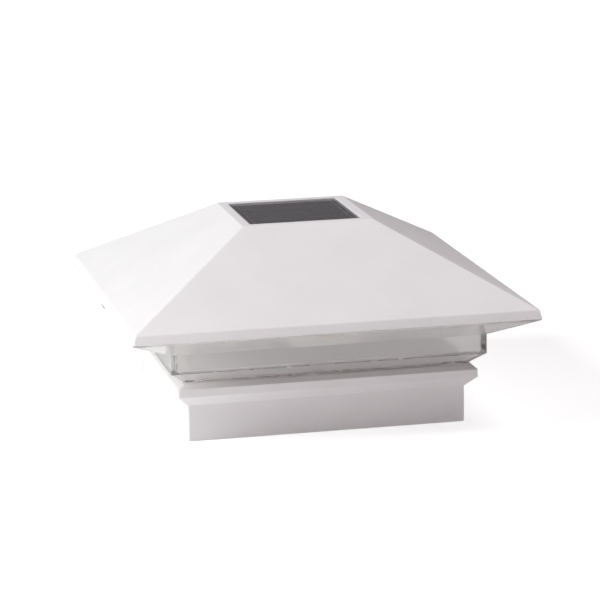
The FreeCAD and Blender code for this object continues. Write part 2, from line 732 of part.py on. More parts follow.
def screw_posts(body):
    """Posts for the plate screws, grown up to the roof's inner face and drilled."""
    for index, (x, y) in enumerate(four_corners(S.post_x, S.post_y)):
        outline = level_sketch(body, f"post_outline_{index}", S.plate_high)
        draw_circle(outline, x, y, S.post_radius)
        post = body.newObject("PartDesign::Pad", f"screw_post_{index}")
        post.Profile = outline
        post.Type = "UpToFirst"
        body.Tip = post
    drill = level_sketch(body, "post_pilots", S.plate_high)
    for x, y in four_corners(S.post_x, S.post_y):
        draw_circle(drill, x, y, S.pilot)
    pocket(body, "post_pilot_holes", drill, S.post_pilot, upwards=True)


def roof_rib(body):
    """A rib under the middle of a slope, deeper towards the top."""
    into_skin = S.roof_skin / 2
    high = roof_inside(S.roof_rib_in)
    low = roof_inside(S.roof_rib_out)
    outline = [
        (S.roof_rib_out, low + into_skin),
        (S.roof_rib_in, high + into_skin),
        (S.roof_rib_in, high - S.roof_rib_drop),
        (S.roof_rib_out - S.roof_rib_tail, low - S.roof_rib_thin),
        (S.roof_rib_out, low - S.roof_rib_thin),
    ]
    sketch = new_sketch(body, "roof_rib_outline", "XZ_Plane")
    draw_polygon(sketch, outline)
    return pad(body, "roof_rib", sketch, S.roof_rib, centred=True)


# ---------------------------------------------------------------------------------------
# Solar panel
# ---------------------------------------------------------------------------------------
BACKPLATE_LOW = S.recess_floor + S.tape_thick
CELLS_LOW = BACKPLATE_LOW + S.backplate_thick
CELLS_HIGH = CELLS_LOW + S.cell_thick
COVER_LOW = CELLS_HIGH + S.ribbon_thick
CELL_STRIPS = 4
CELL_PITCH = S.cell_width + S.cell_gap


def panel_tape():
    """Foam frame that bonds the panel into its recess."""
    body = new_body("panel_tape")
    sketch = level_sketch(body, "tape_outline", S.recess_floor)
    draw_square(sketch, S.tape_half)
    draw_square(sketch, S.tape_hole)
    pad(body, "tape", sketch, S.tape_thick)
    return body


def panel_backplate():
    """Board that carries the cells."""
    body = new_body("panel_backplate")
    sketch = level_sketch(body, "backplate_outline", BACKPLATE_LOW)
    draw_square(sketch, S.panel_half, S.inner_round)
    pad(body, "backplate", sketch, S.backplate_thick)
    return body


def solar_cells():
    """Cell strips side by side, front to back."""
    body = new_body("solar_cells", several=True)
    sketch = level_sketch(body, "cell_outlines", CELLS_LOW)
    for index in range(CELL_STRIPS):
        middle = CELL_PITCH * (index - (CELL_STRIPS - 1) / 2)
        low = middle - S.cell_width / 2
        high = middle + S.cell_width / 2
        draw_box(sketch, -S.cell_half, S.cell_half, low, high)
    pad(body, "cells", sketch, S.cell_thick)
    return body


def cell_ribbons():
    """Two flat ribbons that join the strips near their ends."""
    body = new_body("cell_ribbons", several=True)
    sketch = level_sketch(body, "ribbon_outlines", CELLS_HIGH)
    half = CELL_PITCH * (CELL_STRIPS / 2) - S.ribbon_short
    for place in (-S.ribbon_place, S.ribbon_place):
        draw_box(sketch, place - S.ribbon_half, place + S.ribbon_half, -half, half)
    pad(body, "ribbons", sketch, S.ribbon_thick)
    return body


def panel_cover():
    """Clear face of the panel with a softened edge."""
    body = new_body("panel_cover")
    sections = [
        (COVER_LOW, S.panel_half),
        (S.panel_face - S.panel_edge, S.panel_half),
        (S.panel_face, S.panel_half - S.panel_edge),
    ]
    square_loft(body, "cover", sections, S.inner_round)
    return body


# ---------------------------------------------------------------------------------------
# Ceiling plate
# ---------------------------------------------------------------------------------------
def ceiling_plate():
    """White plate under the roof with the battery bay, door rails and board posts."""
    body = new_body("ceiling_plate")
    sheet = level_sketch(body, "plate_outline", S.plate_low)
    draw_square(sheet, S.plate_half, S.edge_round)
    pad(body, "plate", sheet, S.plate_high - S.plate_low)
    rib = level_sketch(body, "plate_rib_outline", S.plate_high)
    draw_square(rib, S.plate_rib_half, S.edge_round)
    draw_square(rib, S.plate_rib_half - S.plate_rib_thick, S.inner_round)
    pad(body, "plate_rib", rib, S.plate_rib_top - S.plate_high)
    battery_bay(body)
    door_rails(body)
    board_posts(body)
    on_four_sides(body, "all_board_guides", board_guides(body))
    plate_openings(body)
    return body


SOLDER_LOW = S.cell_axis - S.contact_half_z + S.solder_rise


def bay_box(sketch, half_x, half_y):
    """A rectangle about the middle of the battery bay."""
    draw_box(sketch, -half_x, half_x, S.bay_y - half_y, S.bay_y + half_y)


def battery_bay(body):
    """Box above the plate that the battery lies in, open from below."""
    block = level_sketch(body, "bay_outside", S.plate_high)
    bay_box(block, S.bay_half_x + S.bay_wall, S.bay_half_y + S.bay_wall)
    pad(body, "bay_block", block, S.bay_top + S.bay_wall - S.plate_high)
    room = level_sketch(body, "bay_inside", S.plate_low)
    bay_box(room, S.bay_half_x, S.bay_half_y)
    pocket(body, "bay_room", room, S.bay_top - S.plate_low, upwards=True)
    rebate = level_sketch(body, "seal_rebate", S.plate_low)
    bay_box(rebate, S.bay_half_x + S.bay_wall, S.bay_half_y + S.bay_wall / 2)
    pocket(body, "seal_rebate_cut", rebate, S.seal_depth, upwards=True)
    # A slot in each end wall lets the contact's solder tab through.
    past_wall = S.bay_half_x + S.bay_wall + 1
    slots = new_sketch(body, "tab_slots", "YZ_Plane", out=-past_wall)
    draw_box(
        slots,
        S.bay_y - S.solder_far - S.solder_play,
        S.bay_y - S.solder_near + S.solder_play,
        SOLDER_LOW - S.solder_play,
        SOLDER_LOW + S.contact_thick + S.solder_play,
    )
    pocket(body, "tab_slot_cuts", slots, past_wall * 2, upwards=True)


def door_rails(body):
    """Two lipped rails under the plate and a stop at their left end."""
    for name, side in (("front_rail", -1), ("back_rail", 1)):
        outline = [
            (S.bay_y + S.rail_inner * side, S.plate_low + S.root),
            (S.bay_y + S.rail_inner * side, S.lip_top),
            (S.bay_y + S.lip_inner * side, S.lip_top),
            (S.bay_y + S.lip_inner * side, S.rail_low),
            (S.bay_y + S.rail_outer * side, S.rail_low),
            (S.bay_y + S.rail_outer * side, S.plate_low + S.root),
        ]
        sketch = new_sketch(body, f"{name}_outline", "YZ_Plane", out=-S.rail_half_x)
        draw_polygon(sketch, outline)
        pad(body, name, sketch, S.rail_half_x * 2)
    stop = level_sketch(body, "stop_outline", S.rail_low)
    draw_box(stop, -S.rail_half_x - S.stop_thick, -S.rail_half_x,
             S.bay_y - S.rail_outer, S.bay_y + S.rail_outer)
    pad(body, "door_stop", stop, S.plate_low + S.root - S.rail_low)


BOARD_SCREWS = [(-S.pin_x, S.pin_front), (S.pin_x, S.pin_back)]


def board_posts(body):
    """Four posts under the main board; two of them take its screws."""
    posts = level_sketch(body, "board_post_outlines", S.plate_high - S.root)
    rests = [(S.pin_x, S.pin_front), (-S.pin_x, S.pin_back)]
    for x, y in BOARD_SCREWS:
        draw_circle(posts, x, y, S.pin_radius)
    for x, y in rests:
        draw_circle(posts, x, y, S.rest_radius)
    pad(body, "board_posts", posts, S.board_low - S.plate_high + S.root)
    drill = level_sketch(body, "board_post_pilots", S.board_low)
    for x, y in BOARD_SCREWS:
        draw_circle(drill, x, y, S.board_pilot)
    pocket(body, "board_post_holes", drill, S.board_pilot_deep)


def board_guides(body):
    """Two slotted guides under the plate that hold an upright LED board."""
    guides = []
    for name, side in (("left", -1), ("right", 1)):
        slot_out = -S.led_board_out - S.guide_play
        slot_in = -S.led_board_in + S.guide_play
        near, far, slot = S.guide_near * side, S.guide_far * side, S.guide_slot * side
        outline = [
            (near, -S.guide_outer),
            (far, -S.guide_outer),
            (far, -S.guide_inner),
            (near, -S.guide_inner),
            (near, slot_in),
            (slot, slot_in),
            (slot, slot_out),
            (near, slot_out),
        ]
        sketch = level_sketch(body, f"{name}_guide_outline", S.guide_low)
        draw_polygon(sketch, outline)
        guides.append(pad(body, f"{name}_guide", sketch, S.plate_low + S.root - S.guide_low))
    return guides


def plate_openings(body):
    """Switch slot, screw holes and the four holes that the LED wires go down."""
    switch = level_sketch(body, "switch_slot_outline", S.plate_high)
    draw_box(switch, -S.knob_slot_x, S.knob_slot_x,
             S.switch_y - S.knob_slot_y, S.switch_y + S.knob_slot_y)
    pocket(body, "switch_slot", switch, S.plate_high - S.plate_low)
    screws = level_sketch(body, "plate_screw_outlines", S.plate_high)
    for x, y in four_corners(S.post_x, S.post_y):
        draw_circle(screws, x, y, S.screw_hole)
    pocket(body, "plate_screw_holes", screws, S.plate_high - S.plate_low)
    wires = level_sketch(body, "wire_hole_outlines", S.plate_high)
    half = S.wire_hole_half
    far = S.led_board_in + S.guide_play
    near = S.led_board_in - S.wire_hole_wide
    for start, end in ((-far, -near), (near, far)):
        draw_box(wires, -half, half, start, end)
        draw_box(wires, start, end, -half, half)
    pocket(body, "wire_holes", wires, S.plate_high - S.plate_low)


def plate_screws():
    """Four pan head screws that hold the plate up to the roof's posts."""
    body = new_body("plate_screws", several=True)
    head_high, head_radius, head_flat, head_round = 2.0, 2.8, 2.0, 0.7
    point, gap = 1.0, 0.5
    head = S.plate_low - head_high
    tip = S.plate_high + S.post_pilot - gap
    shank = S.pilot - S.snug
    profile = [
        (ZERO, head),
        (head_flat, head),
        (head_radius, head + head_round),
        (head_radius, S.plate_low),
        (shank, S.plate_low),
        (shank, tip - point),
        (ZERO, tip),
    ]
    places = four_corners(S.post_x, S.post_y)
    for index, (x, y) in enumerate(places):
        screw(body, f"plate_screw_{index}", x, y, profile)
    for index, (x, y) in enumerate(places):
        cross_recess(body, f"plate_screw_{index}", x, y, head, depth=1.1, upwards=True)
    return body


# ---------------------------------------------------------------------------------------
# Battery and its door
# ---------------------------------------------------------------------------------------
def turned_along_x(body, name, profile):
    """A piece turned about the battery's axis; profile points are x and radius."""
    sketch = new_sketch(body, f"{name}_profile", "XY_Plane", up=S.bay_y, out=S.cell_axis)
    draw_polygon(sketch, profile)
    feature = body.newObject("PartDesign::Revolution", name)
    feature.Profile = sketch
    feature.ReferenceAxis = (sketch, ["H_Axis"])
    feature.Angle = 360
    body.Tip = feature
    return feature


def battery_cell():
    """Steel can with its nub and the crimp below it."""
    body = new_body("battery_cell")
    nub_edge, foot_edge = 0.3, 0.5
    crimp_deep, crimp_inner, crimp_outer = 0.6, 1.6, 1.2
    profile = [
        (S.nub_start, ZERO),
        (S.nub_start, S.nub_radius - nub_edge),
        (S.nub_start + nub_edge, S.nub_radius),
        (S.cell_start, S.nub_radius),
        (S.cell_start, S.cell_radius - crimp_inner),
        (S.cell_start + crimp_deep, S.cell_radius - crimp_outer),
        (S.cell_start + crimp_deep, S.cell_radius),
        (S.cell_end - foot_edge, S.cell_radius),
        (S.cell_end, S.cell_radius - foot_edge),
        (S.cell_end, ZERO),
    ]
    turned_along_x(body, "can", profile)
    return body


def battery_sleeve():
    """Shrunk wrap round the can, turned in over its positive end."""
    body = new_body("battery_sleeve")
    bare, turned_in = 0.6, 1.0
    start, end = S.cell_start, S.cell_end - bare
    profile = [
        (start, S.cell_radius - turned_in),
        (start, S.sleeve_radius),
        (end, S.sleeve_radius),
        (end, S.cell_radius),
        (start + bare, S.cell_radius),
        (start + bare, S.cell_radius - turned_in),
    ]
    turned_along_x(body, "wrap", profile)
    return body


def contact(label, wall, inwards):
    """A sprung sheet contact against an end wall, with its tab through the wall."""
    body = new_body(label)
    face = new_sketch(body, "sheet_outline", "YZ_Plane", out=wall)
    draw_rounded_box(
        face,
        S.bay_y - S.contact_half_y,
        S.bay_y + S.contact_half_y,
        S.cell_axis - S.contact_half_z,
        S.cell_axis + S.contact_half_z,
        S.contact_round,
    )
    pad(body, "sheet", face, S.contact_thick, backwards=inwards < 0)
    tab = new_sketch(body, "tab_outline", "YZ_Plane", out=wall + S.contact_thick * inwards)
    draw_box(tab, S.bay_y - S.solder_far, S.bay_y - S.solder_near,
             SOLDER_LOW, SOLDER_LOW + S.contact_thick)
    length = S.contact_thick + S.bay_wall + S.solder_reach
    pad(body, "solder_tab", tab, length, backwards=inwards > 0)
    return body


def contact_plate():
    """Positive contact, with a dimple that meets the battery's nub."""
    body = contact("contact_plate", -S.bay_half_x, 1)
    sketch = new_sketch(body, "dimple_outline", "YZ_Plane", out=-S.bay_half_x + S.contact_thick)
    draw_circle(sketch, S.bay_y, S.cell_axis, S.dimple_radius)
    pad(body, "dimple", sketch, S.nub_start + S.bay_half_x - S.contact_thick)
    return body


def spring_plate():
    """Negative contact, which carries the spring."""
    return contact("spring_plate", S.bay_half_x, -1)


def battery_spring():
    """Conical spring, wide end on its plate and narrow end on the battery."""
    wire = 0.3
    turns = 3
    wide = 4.6
    narrow = 2.4
    start = S.bay_half_x.number - S.contact_thick.number - wire
    end = S.cell_end.number + wire
    steps = turns * 4

    def point(step):
        part = step / steps
        angle = step * math.pi / 2
        radius = wide + (narrow - wide) * part
        x = start + (end - start) * part
        y = S.bay_y.number + radius * math.cos(angle)
        return Vector(x, y, S.cell_axis.number + radius * math.sin(angle))

    arcs = []
    for step in range(steps):
        arcs.append(Part.Arc(point(step), point(step + 0.5), point(step + 1)).toShape())
    path = Part.Wire(arcs)
    first = path.Edges[0]
    along = first.tangentAt(first.FirstParameter)
    ring = Part.Wire([Part.makeCircle(wire, point(0), along)])
    body = DOCUMENT.addObject("Part::Feature", "battery_spring")
    body.Label = "battery_spring"
    body.Shape = path.makePipeShell([ring], True, False)
    drop = (wide - narrow) / turns
    rise = abs(end - start) / turns
    print(f"battery_spring: least gap between turns {math.hypot(drop, rise) - 2 * wire:.2f} mm")
    return body


def bay_seal():
    """Rubber frame let into the plate round the mouth of the battery bay."""
    body = new_body("bay_seal")
    sketch = level_sketch(body, "seal_outline", S.plate_low + S.snug)
    bay_box(sketch, S.bay_half_x + S.bay_wall, S.bay_half_y + S.bay_wall / 2)
    bay_box(sketch, S.bay_half_x, S.bay_half_y)
    pad(body, "seal", sketch, S.seal_depth - S.snug)
    return body


GRIP_RIBS = 5


def battery_door():
    """Flat door that slides in the rails, with ribs for the thumb."""
    body = new_body("battery_door")
    sketch = level_sketch(body, "door_outline", S.door_low)
    draw_rounded_box(
        sketch,
        -S.door_half_x,
        S.door_half_x,
        S.bay_y - S.door_half_y,
        S.bay_y + S.door_half_y,
        S.door_round,
    )
    pad(body, "door", sketch, S.door_high - S.door_low)
    ribs = level_sketch(body, "grip_outlines", S.grip_low)
    for index in range(GRIP_RIBS):
        middle = S.door_half_x - S.grip_end - S.grip_pitch * index
        draw_box(ribs, middle - S.grip_half_x, middle + S.grip_half_x,
                 S.bay_y - S.grip_half_y, S.bay_y + S.grip_half_y)
    pad(body, "grip_ribs", ribs, S.door_low + S.root - S.grip_low)
    return body


# ---------------------------------------------------------------------------------------
# Main board and switch
# ---------------------------------------------------------------------------------------
def main_board():
    """Charging and lighting board on its posts."""
    body = new_body("main_board")
    sketch = level_sketch(body, "board_outline", S.board_low)
    draw_box(sketch, -S.board_half_x, S.board_half_x, S.board_front, S.board_back)
    pad(body, "board", sketch, S.board_high - S.board_low)
    holes = level_sketch(body, "board_holes_outline", S.board_high)
    for x, y in BOARD_SCREWS:
        draw_circle(holes, x, y, S.board_hole)
    pocket(body, "board_holes", holes, S.board_high - S.board_low)
    return body


def board_screws():
    """Two small pan head screws that hold the board down."""
    body = new_body("board_screws", several=True)
    shank = S.board_pilot - S.snug
    reach, point = 3.6, 0.6
    head_radius, head_flat, head_edge, head_high = 2.3, 1.6, 0.9, 1.5
    profile = [
        (ZERO, S.board_low - reach),
        (shank, S.board_low - reach + point),
        (shank, S.board_high),
        (head_radius, S.board_high),
        (head_radius, S.board_high + head_edge),
        (head_flat, S.board_high + head_high),
        (ZERO, S.board_high + head_high),
    ]
    for index, (x, y) in enumerate(BOARD_SCREWS):
        screw(body, f"board_screw_{index}", x, y, profile)
    face = S.board_high + head_high
    for index, (x, y) in enumerate(BOARD_SCREWS):
        cross_recess(body, f"board_screw_{index}", x, y, face, depth=0.8, upwards=False)
    return body


def driver_chip():
    """Small eight-legged chip that charges the battery and drives the LEDs."""
    body = new_body("driver_chip")
    x, y = Size.of(-9), Size.of(-18)
    leg_pairs, leg_pitch, leg_half, leg_reach, leg_high = 4, 1.27, 0.2, 3.0, Size.of(0.45)
    case_half_x, case_half_y, case_gap, case_high = 2.5, 2.0, 0.3, Size.of(1.4)
    case = level_sketch(body, "case_outline", S.board_high + case_gap)
    draw_box(case, x - case_half_x, x + case_half_x, y - case_half_y, y + case_half_y)
    pad(body, "case", case, case_high)
    legs = level_sketch(body, "leg_outlines", S.board_high)
    for index in range(leg_pairs):
        middle = x + (index - (leg_pairs - 1) / 2) * leg_pitch
        draw_box(legs, middle - leg_half, middle + leg_half, y - leg_reach, y + leg_reach)
    pad(body, "legs", legs, leg_high)
    return body


def turned_upright(label, x, y, profile):
    """A round component standing on the board; profile points are radius and height."""
    body = new_body(label)
    x, y = Size.of(x), Size.of(y)
    sketch = new_sketch(body, "profile", "XZ_Plane", across=x, up=S.board_high, out=-y)
    draw_polygon(sketch, profile)
    revolve(body, "turned", sketch)
    return body


def storage_coil():
    """Drum coil that steps the battery's voltage up."""
    flange, core, height = 4.0, 3.0, 8.0
    flange_edge, flange_foot = 1.2, 1.8
    profile = [
        (0, 0),
        (flange, 0),
        (flange, flange_edge),
        (core, flange_foot),
        (core, height - flange_foot),
        (flange, height - flange_edge),
        (flange, height),
        (0, height),
    ]
    return turned_upright("storage_coil", 12, -27, profile)


def board_capacitor():
    """Round capacitor with its crimped foot."""
    radius, height, edge = 3.1, 7.0, 0.4
    crimp, crimp_deep = 1.6, 0.3
    profile = [
        (0, 0),
        (radius, 0),
        (radius, crimp - edge),
        (radius - crimp_deep, crimp),
        (radius, crimp + edge),
        (radius, height - edge),
        (radius - edge, height),
        (0, height),
    ]
    return turned_upright("board_capacitor", 10, -14, profile)


def board_resistors():
    """Three chip resistors in a row."""
    body = new_body("board_resistors", several=True)
    first_x, middle_y, pitch = -16.0, -25.0, 3.4
    half_x, half_y, height = 0.8, 1.6, Size.of(0.6)
    sketch = level_sketch(body, "resistor_outlines", S.board_high)
    for index in range(3):
        x = first_x + pitch * index
        draw_box(sketch, x - half_x, x + half_x, middle_y - half_y, middle_y + half_y)
    pad(body, "resistors", sketch, height)
    return body


def switch_can():
    """Folded can under the board that the knob slides in."""
    body = new_body("switch_can")
    low = S.switch_y - S.can_half_y
    high = S.switch_y + S.can_half_y
    outside = level_sketch(body, "can_outline", S.can_low)
    draw_box(outside, -S.can_half_x, S.can_half_x, low, high)
    pad(body, "can", outside, S.board_low - S.can_low)
    inside = level_sketch(body, "can_room", S.board_low)
    wall = S.can_wall
    draw_box(inside, -S.can_half_x + wall, S.can_half_x - wall, low + wall, high - wall)
    pocket(body, "room", inside, S.board_low - S.can_low - wall)
    slot = level_sketch(body, "can_slot", S.can_low + wall)
    draw_box(slot, -S.can_slot_x, S.can_slot_x,
             S.switch_y - S.can_slot_y, S.switch_y + S.can_slot_y)
    pocket(body, "slot", slot, wall)
    return body


def switch_pins():
    """Three pins that solder the switch into the board."""
    body = new_body("switch_pins", several=True)
    pitch, radius, height = 4.0, 0.4, Size.of(1.0)
    sketch = level_sketch(body, "pin_outlines", S.board_high)
    for index in (-1, 0, 1):
        draw_circle(sketch, pitch * index, S.switch_y, radius)
    pad(body, "pins", sketch, height)
    return body


def switch_knob():
    """Sliding knob: a shoe inside the can and a ridged tip below the plate."""
    body = new_body("switch_knob")
    shoe = level_sketch(body, "shoe_outline", S.shoe_low)
    draw_box(shoe, S.knob_rest - S.shoe_half_x, S.knob_rest + S.shoe_half_x,
             S.switch_y - S.shoe_half_y, S.switch_y + S.shoe_half_y)
    pad(body, "shoe", shoe, S.shoe_high - S.shoe_low)
    stem = level_sketch(body, "stem_outline", S.knob_low)
    draw_box(stem, S.knob_rest - S.knob_half_x, S.knob_rest + S.knob_half_x,
             S.switch_y - S.knob_half_y, S.switch_y + S.knob_half_y)
    pad(body, "stem", stem, S.shoe_low + S.root - S.knob_low)
    pitch, half, depth = 0.9, 0.2, Size.of(0.35)
    past_side = S.knob_half_y + S.root
    grooves = level_sketch(body, "groove_outlines", S.knob_low)
    for index in (-1, 0, 1):
        middle = S.knob_rest + pitch * index
        draw_box(grooves, middle - half, middle + half,
                 S.switch_y - past_side, S.switch_y + past_side)
    pocket(body, "grooves", grooves, depth, upwards=True)
    return body


# ---------------------------------------------------------------------------------------
# LED boards, one a side
# ---------------------------------------------------------------------------------------
SIDES = (("front", 0), ("right", 90), ("back", 180), ("left", 270))


def turn_to_side(body, angle):
    body.Placement = FreeCAD.Placement(Vector(0, 0, 0), FreeCAD.Rotation(Vector(0, 0, 1), angle))


def led_board(side, angle):
    """Upright board in its guides."""
    body = new_body(f"led_board_{side}")
    sketch = level_sketch(body, "board_outline", S.led_board_low)
    draw_box(sketch, -S.led_board_half, S.led_board_half, -S.led_board_out, -S.led_board_in)
    pad(body, "board", sketch, S.led_board_high - S.led_board_low)
    turn_to_side(body, angle)
    return body


def led_chip(side, angle):
    """White LED housing with a cup, on the outer face of its board."""
    body = new_body(f"led_chip_{side}")
    low, high = S.led_centre - S.led_half, S.led_centre + S.led_half
    sketch = new_sketch(body, "housing_outline", "XZ_Plane", out=S.led_board_out)
    draw_box(sketch, -S.led_half, S.led_half, low, high)
    pad(body, "housing", sketch, S.led_face - S.led_board_out)
    cup = new_sketch(body, "cup_outline", "XZ_Plane", out=S.led_face)
    draw_circle(cup, ZERO, S.led_centre, S.led_cup)
    pocket(body, "cup", cup, S.led_face - S.led_bed)
    turn_to_side(body, angle)
    return body


# Height of an LED's dome as a share of its radius.
DOME_RISE = 0.8


def led_dome(side, angle):
    """Domed lens in the cup of an LED."""
    body = new_body(f"led_dome_{side}")
    sketch = new_sketch(body, "dome_profile", "XY_Plane", out=S.led_centre)
    radius = S.led_dome
    height = radius * DOME_RISE
    steps = 5
    profile = [(ZERO, -S.led_bed), (radius, -S.led_bed)]
    for step in range(steps):
        rise = step * math.pi / 2 / steps
        profile.append((radius * math.cos(rise), -S.led_face - height * math.sin(rise)))
    profile.append((ZERO, -S.led_face - height))
    draw_polygon(sketch, profile)
    revolve(body, "dome", sketch)
    turn_to_side(body, angle)
    return body


# ---------------------------------------------------------------------------------------
# Inner wires
# ---------------------------------------------------------------------------------------
# Share of a wire's shorter run that one bend may use up.
BEND_SHARE = 0.45


def bent_path(points, bend):
    """Straight runs joined by tangent arcs, each as wide as its two runs allow."""
    corners = [Vector(*point) for point in points]
    edges = []
    start = corners[0]
    for before, corner, after in zip(corners, corners[1:], corners[2:]):
        arrive = (corner - before).normalize()
        leave = (after - corner).normalize()
        turn = arrive.getAngle(leave)
        shorter = min((corner - before).Length, (after - corner).Length)
        radius = min(bend, BEND_SHARE * shorter / math.tan(turn / 2))
        trim = radius * math.tan(turn / 2)
        arc_start = corner - arrive * trim
        arc_end = corner + leave * trim
        inward = (leave - arrive).normalize()
        middle = corner + inward * (radius / math.cos(turn / 2) - radius)
        edges.append(Part.LineSegment(start, arc_start).toShape())
        edges.append(Part.Arc(arc_start, middle, arc_end).toShape())
        start = arc_end
    edges.append(Part.LineSegment(start, corners[-1]).toShape())
    return Part.Wire(edges)


def tube(points, bend=8.0):
    """A wire of the sheet's radius along a bent path."""
    path = bent_path(points, bend)
    along = Vector(*points[1]) - Vector(*points[0])
    ring = Part.Wire([Part.makeCircle(S.wire_radius.number, Vector(*points[0]), along)])
    return path.makePipeShell([ring], True, False)


def wires(label, shapes):
    """A node of inner wires, which bend in space."""
    body = DOCUMENT.addObject("Part::Feature", label)
    body.Label = label
    body.Shape = shapes[0] if len(shapes) == 1 else Part.makeCompound(shapes)
    return body


BOARD_TOP = S.board_high.number
WIRE = S.wire_radius.number


def panel_wire(label, x):
    """From the panel's backplate down through the roof's slot to the main board."""
    top = BACKPLATE_LOW.number
    points = [(x, 0, top), (x, 0, 80), (x * 0.8, -10, 72), (x * 0.8, -10, BOARD_TOP)]
    return wires(label, [tube(points)])


def battery_wire(label, side):
    """From a battery contact's tab along the bay to the main board."""
    over_tab = (SOLDER_LOW + S.contact_thick).number + WIRE
    over_board = BOARD_TOP + WIRE
    x = side * ((S.bay_half_x + S.bay_wall).number + 2 * WIRE)
    y = (S.bay_y - S.solder_near).number
    points = [
        (x, y, over_tab),
        (x, 8, over_tab),
        (side * 14, 8, over_board),
        (side * 14, -7, over_board),
    ]
    return wires(label, [tube(points, bend=6.0)])


def beside(route, shift):
    """A level route moved sideways, so that two wires run side by side."""
    plan = [Vector(x, y, 0) for x, y in route]
    runs = [(after - before).normalize() for before, after in zip(plan, plan[1:])]
    moved = []
    for index, point in enumerate(plan):
        before = runs[max(index - 1, 0)]
        after = runs[min(index, len(runs) - 1)]
        middle = (before + after).normalize()
        normal = Vector(-middle.y, middle.x, 0)
        moved.append(point + normal * (shift / middle.dot(before)))
    return moved


def led_wire(route, shift):
    """One wire along a level route and down behind an LED board."""
    over = BOARD_TOP + WIRE
    level = [(point.x, point.y, over) for point in beside(route, shift)]
    last = level[-1]
    return tube(level + [(last[0], last[1], S.led_centre.number + 2)])


def led_wires(label, shift):
    """One wire to each of the four LED boards."""
    end = S.led_board_in.number - WIRE
    front = [(0, -36), (0, -end)]
    right = [(23.4, -20), (42, -20), (52, 0), (end, 0)]
    left = [(-x, y) for x, y in right]
    back = [(23.4, -5.4), (40, -5.4), (40, 46), (0, 52), (0, end)]
    return wires(label, [led_wire(route, shift) for route in (front, right, back, left)])


# ---------------------------------------------------------------------------------------
# Assembly
# ---------------------------------------------------------------------------------------
def build_all():
    """Makes every sub-part and returns them in order."""
    pieces = [
        base_collar(),
        lens_ring(),
        lens_screws(),
        roof_shell(),
        panel_tape(),
        panel_backplate(),
        solar_cells(),
        cell_ribbons(),
        panel_cover(),
        ceiling_plate(),
        plate_screws(),
        battery_cell(),
        battery_sleeve(),
        contact_plate(),
        spring_plate(),
        battery_spring(),
        bay_seal(),
        battery_door(),
        main_board(),
        board_screws(),
        driver_chip(),
        storage_coil(),
        board_capacitor(),
        board_resistors(),
        switch_can(),
        switch_pins(),
        switch_knob(),
    ]
    for side, angle in SIDES:
        pieces += [led_board(side, angle), led_chip(side, angle), led_dome(side, angle)]
    pieces += [
        panel_wire("panel_wire_red", -4.0),
        panel_wire("panel_wire_black", 4.0),
        battery_wire("battery_wire_red", -1),
        battery_wire("battery_wire_black", 1),
        led_wires("led_wires_red", -1.0),
        led_wires("led_wires_black", 1.0),
    ]
    return pieces


def check_document(pieces):
    """Stops when any feature failed or a sub-part has no sound solid."""
    DOCUMENT.recompute()
    for item in DOCUMENT.Objects:
        if "Invalid" in item.State or "Error" in item.State:
            raise RuntimeError(f"{item.Name} failed: {item.State}")
    for piece in pieces:
        shape = piece.Shape
        if shape.isNull() or not shape.isValid() or not shape.Solids:
            raise RuntimeError(f"{piece.Label} has no sound solid")


def write_parts(pieces):
    os.makedirs("parts", exist_ok=True)
    for piece in pieces:
        piece.Shape.exportStep(os.path.join("parts", f"{piece.Label}.step"))
        box = piece.Shape.BoundBox
        print(f"{piece.Label}: {len(piece.Shape.Solids)} solid, {piece.Shape.Volume:.1f} mm3, "
              f"z {box.ZMin:.2f} to {box.ZMax:.2f}")


PIECES = build_all()
check_document(PIECES)
write_parts(PIECES)
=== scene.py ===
"""Looks, studio and camera for a solar deck post cap light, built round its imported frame.

The object is a white pyramid roof with a small solar panel in its flat top, a clear lens
ring below it and a white skirted base.  Everything is in metres, +Z up, the front faces -Y.
"""

import json
import logging
import math
from dataclasses import dataclass, field
from enum import Enum

import bmesh
import bpy
from mathutils import Matrix, Vector

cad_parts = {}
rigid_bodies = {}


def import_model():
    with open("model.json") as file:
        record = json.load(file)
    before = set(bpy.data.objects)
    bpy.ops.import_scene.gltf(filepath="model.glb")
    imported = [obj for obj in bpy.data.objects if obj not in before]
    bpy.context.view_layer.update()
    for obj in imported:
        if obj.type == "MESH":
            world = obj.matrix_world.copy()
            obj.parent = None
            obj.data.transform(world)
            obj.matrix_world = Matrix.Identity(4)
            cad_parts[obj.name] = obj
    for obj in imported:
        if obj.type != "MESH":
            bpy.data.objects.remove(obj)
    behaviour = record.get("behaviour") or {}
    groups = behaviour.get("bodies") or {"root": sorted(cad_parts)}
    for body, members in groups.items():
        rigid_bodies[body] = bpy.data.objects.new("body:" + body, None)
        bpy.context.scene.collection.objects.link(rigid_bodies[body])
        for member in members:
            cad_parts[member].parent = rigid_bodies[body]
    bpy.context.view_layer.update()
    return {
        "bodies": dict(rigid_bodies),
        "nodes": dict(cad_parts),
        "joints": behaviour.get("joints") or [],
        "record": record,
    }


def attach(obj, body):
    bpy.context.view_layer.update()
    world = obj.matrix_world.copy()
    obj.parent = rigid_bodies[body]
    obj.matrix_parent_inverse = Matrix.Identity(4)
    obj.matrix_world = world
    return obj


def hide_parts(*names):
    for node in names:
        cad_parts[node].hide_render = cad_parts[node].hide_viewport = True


LOG = logging.getLogger("post_cap_light")
MM = 0.001
PILOT_RADIUS = 1.3  # of a hole that a screw bites into, in millimetres

Colour = tuple[float, float, float]
Point = tuple[float, float]

WHITE: Colour = (1.0, 1.0, 1.0)
SOFT_PINK: Colour = (1.0, 0.95, 0.965)
RESIN_TINT: Colour = (0.62, 0.60, 0.66)


class Body(Enum):
    """The bodies that pieces ride on."""

    BASE = "base"
    HEAD = "head"
    DOOR = "battery_door"
    SWITCH = "switch"


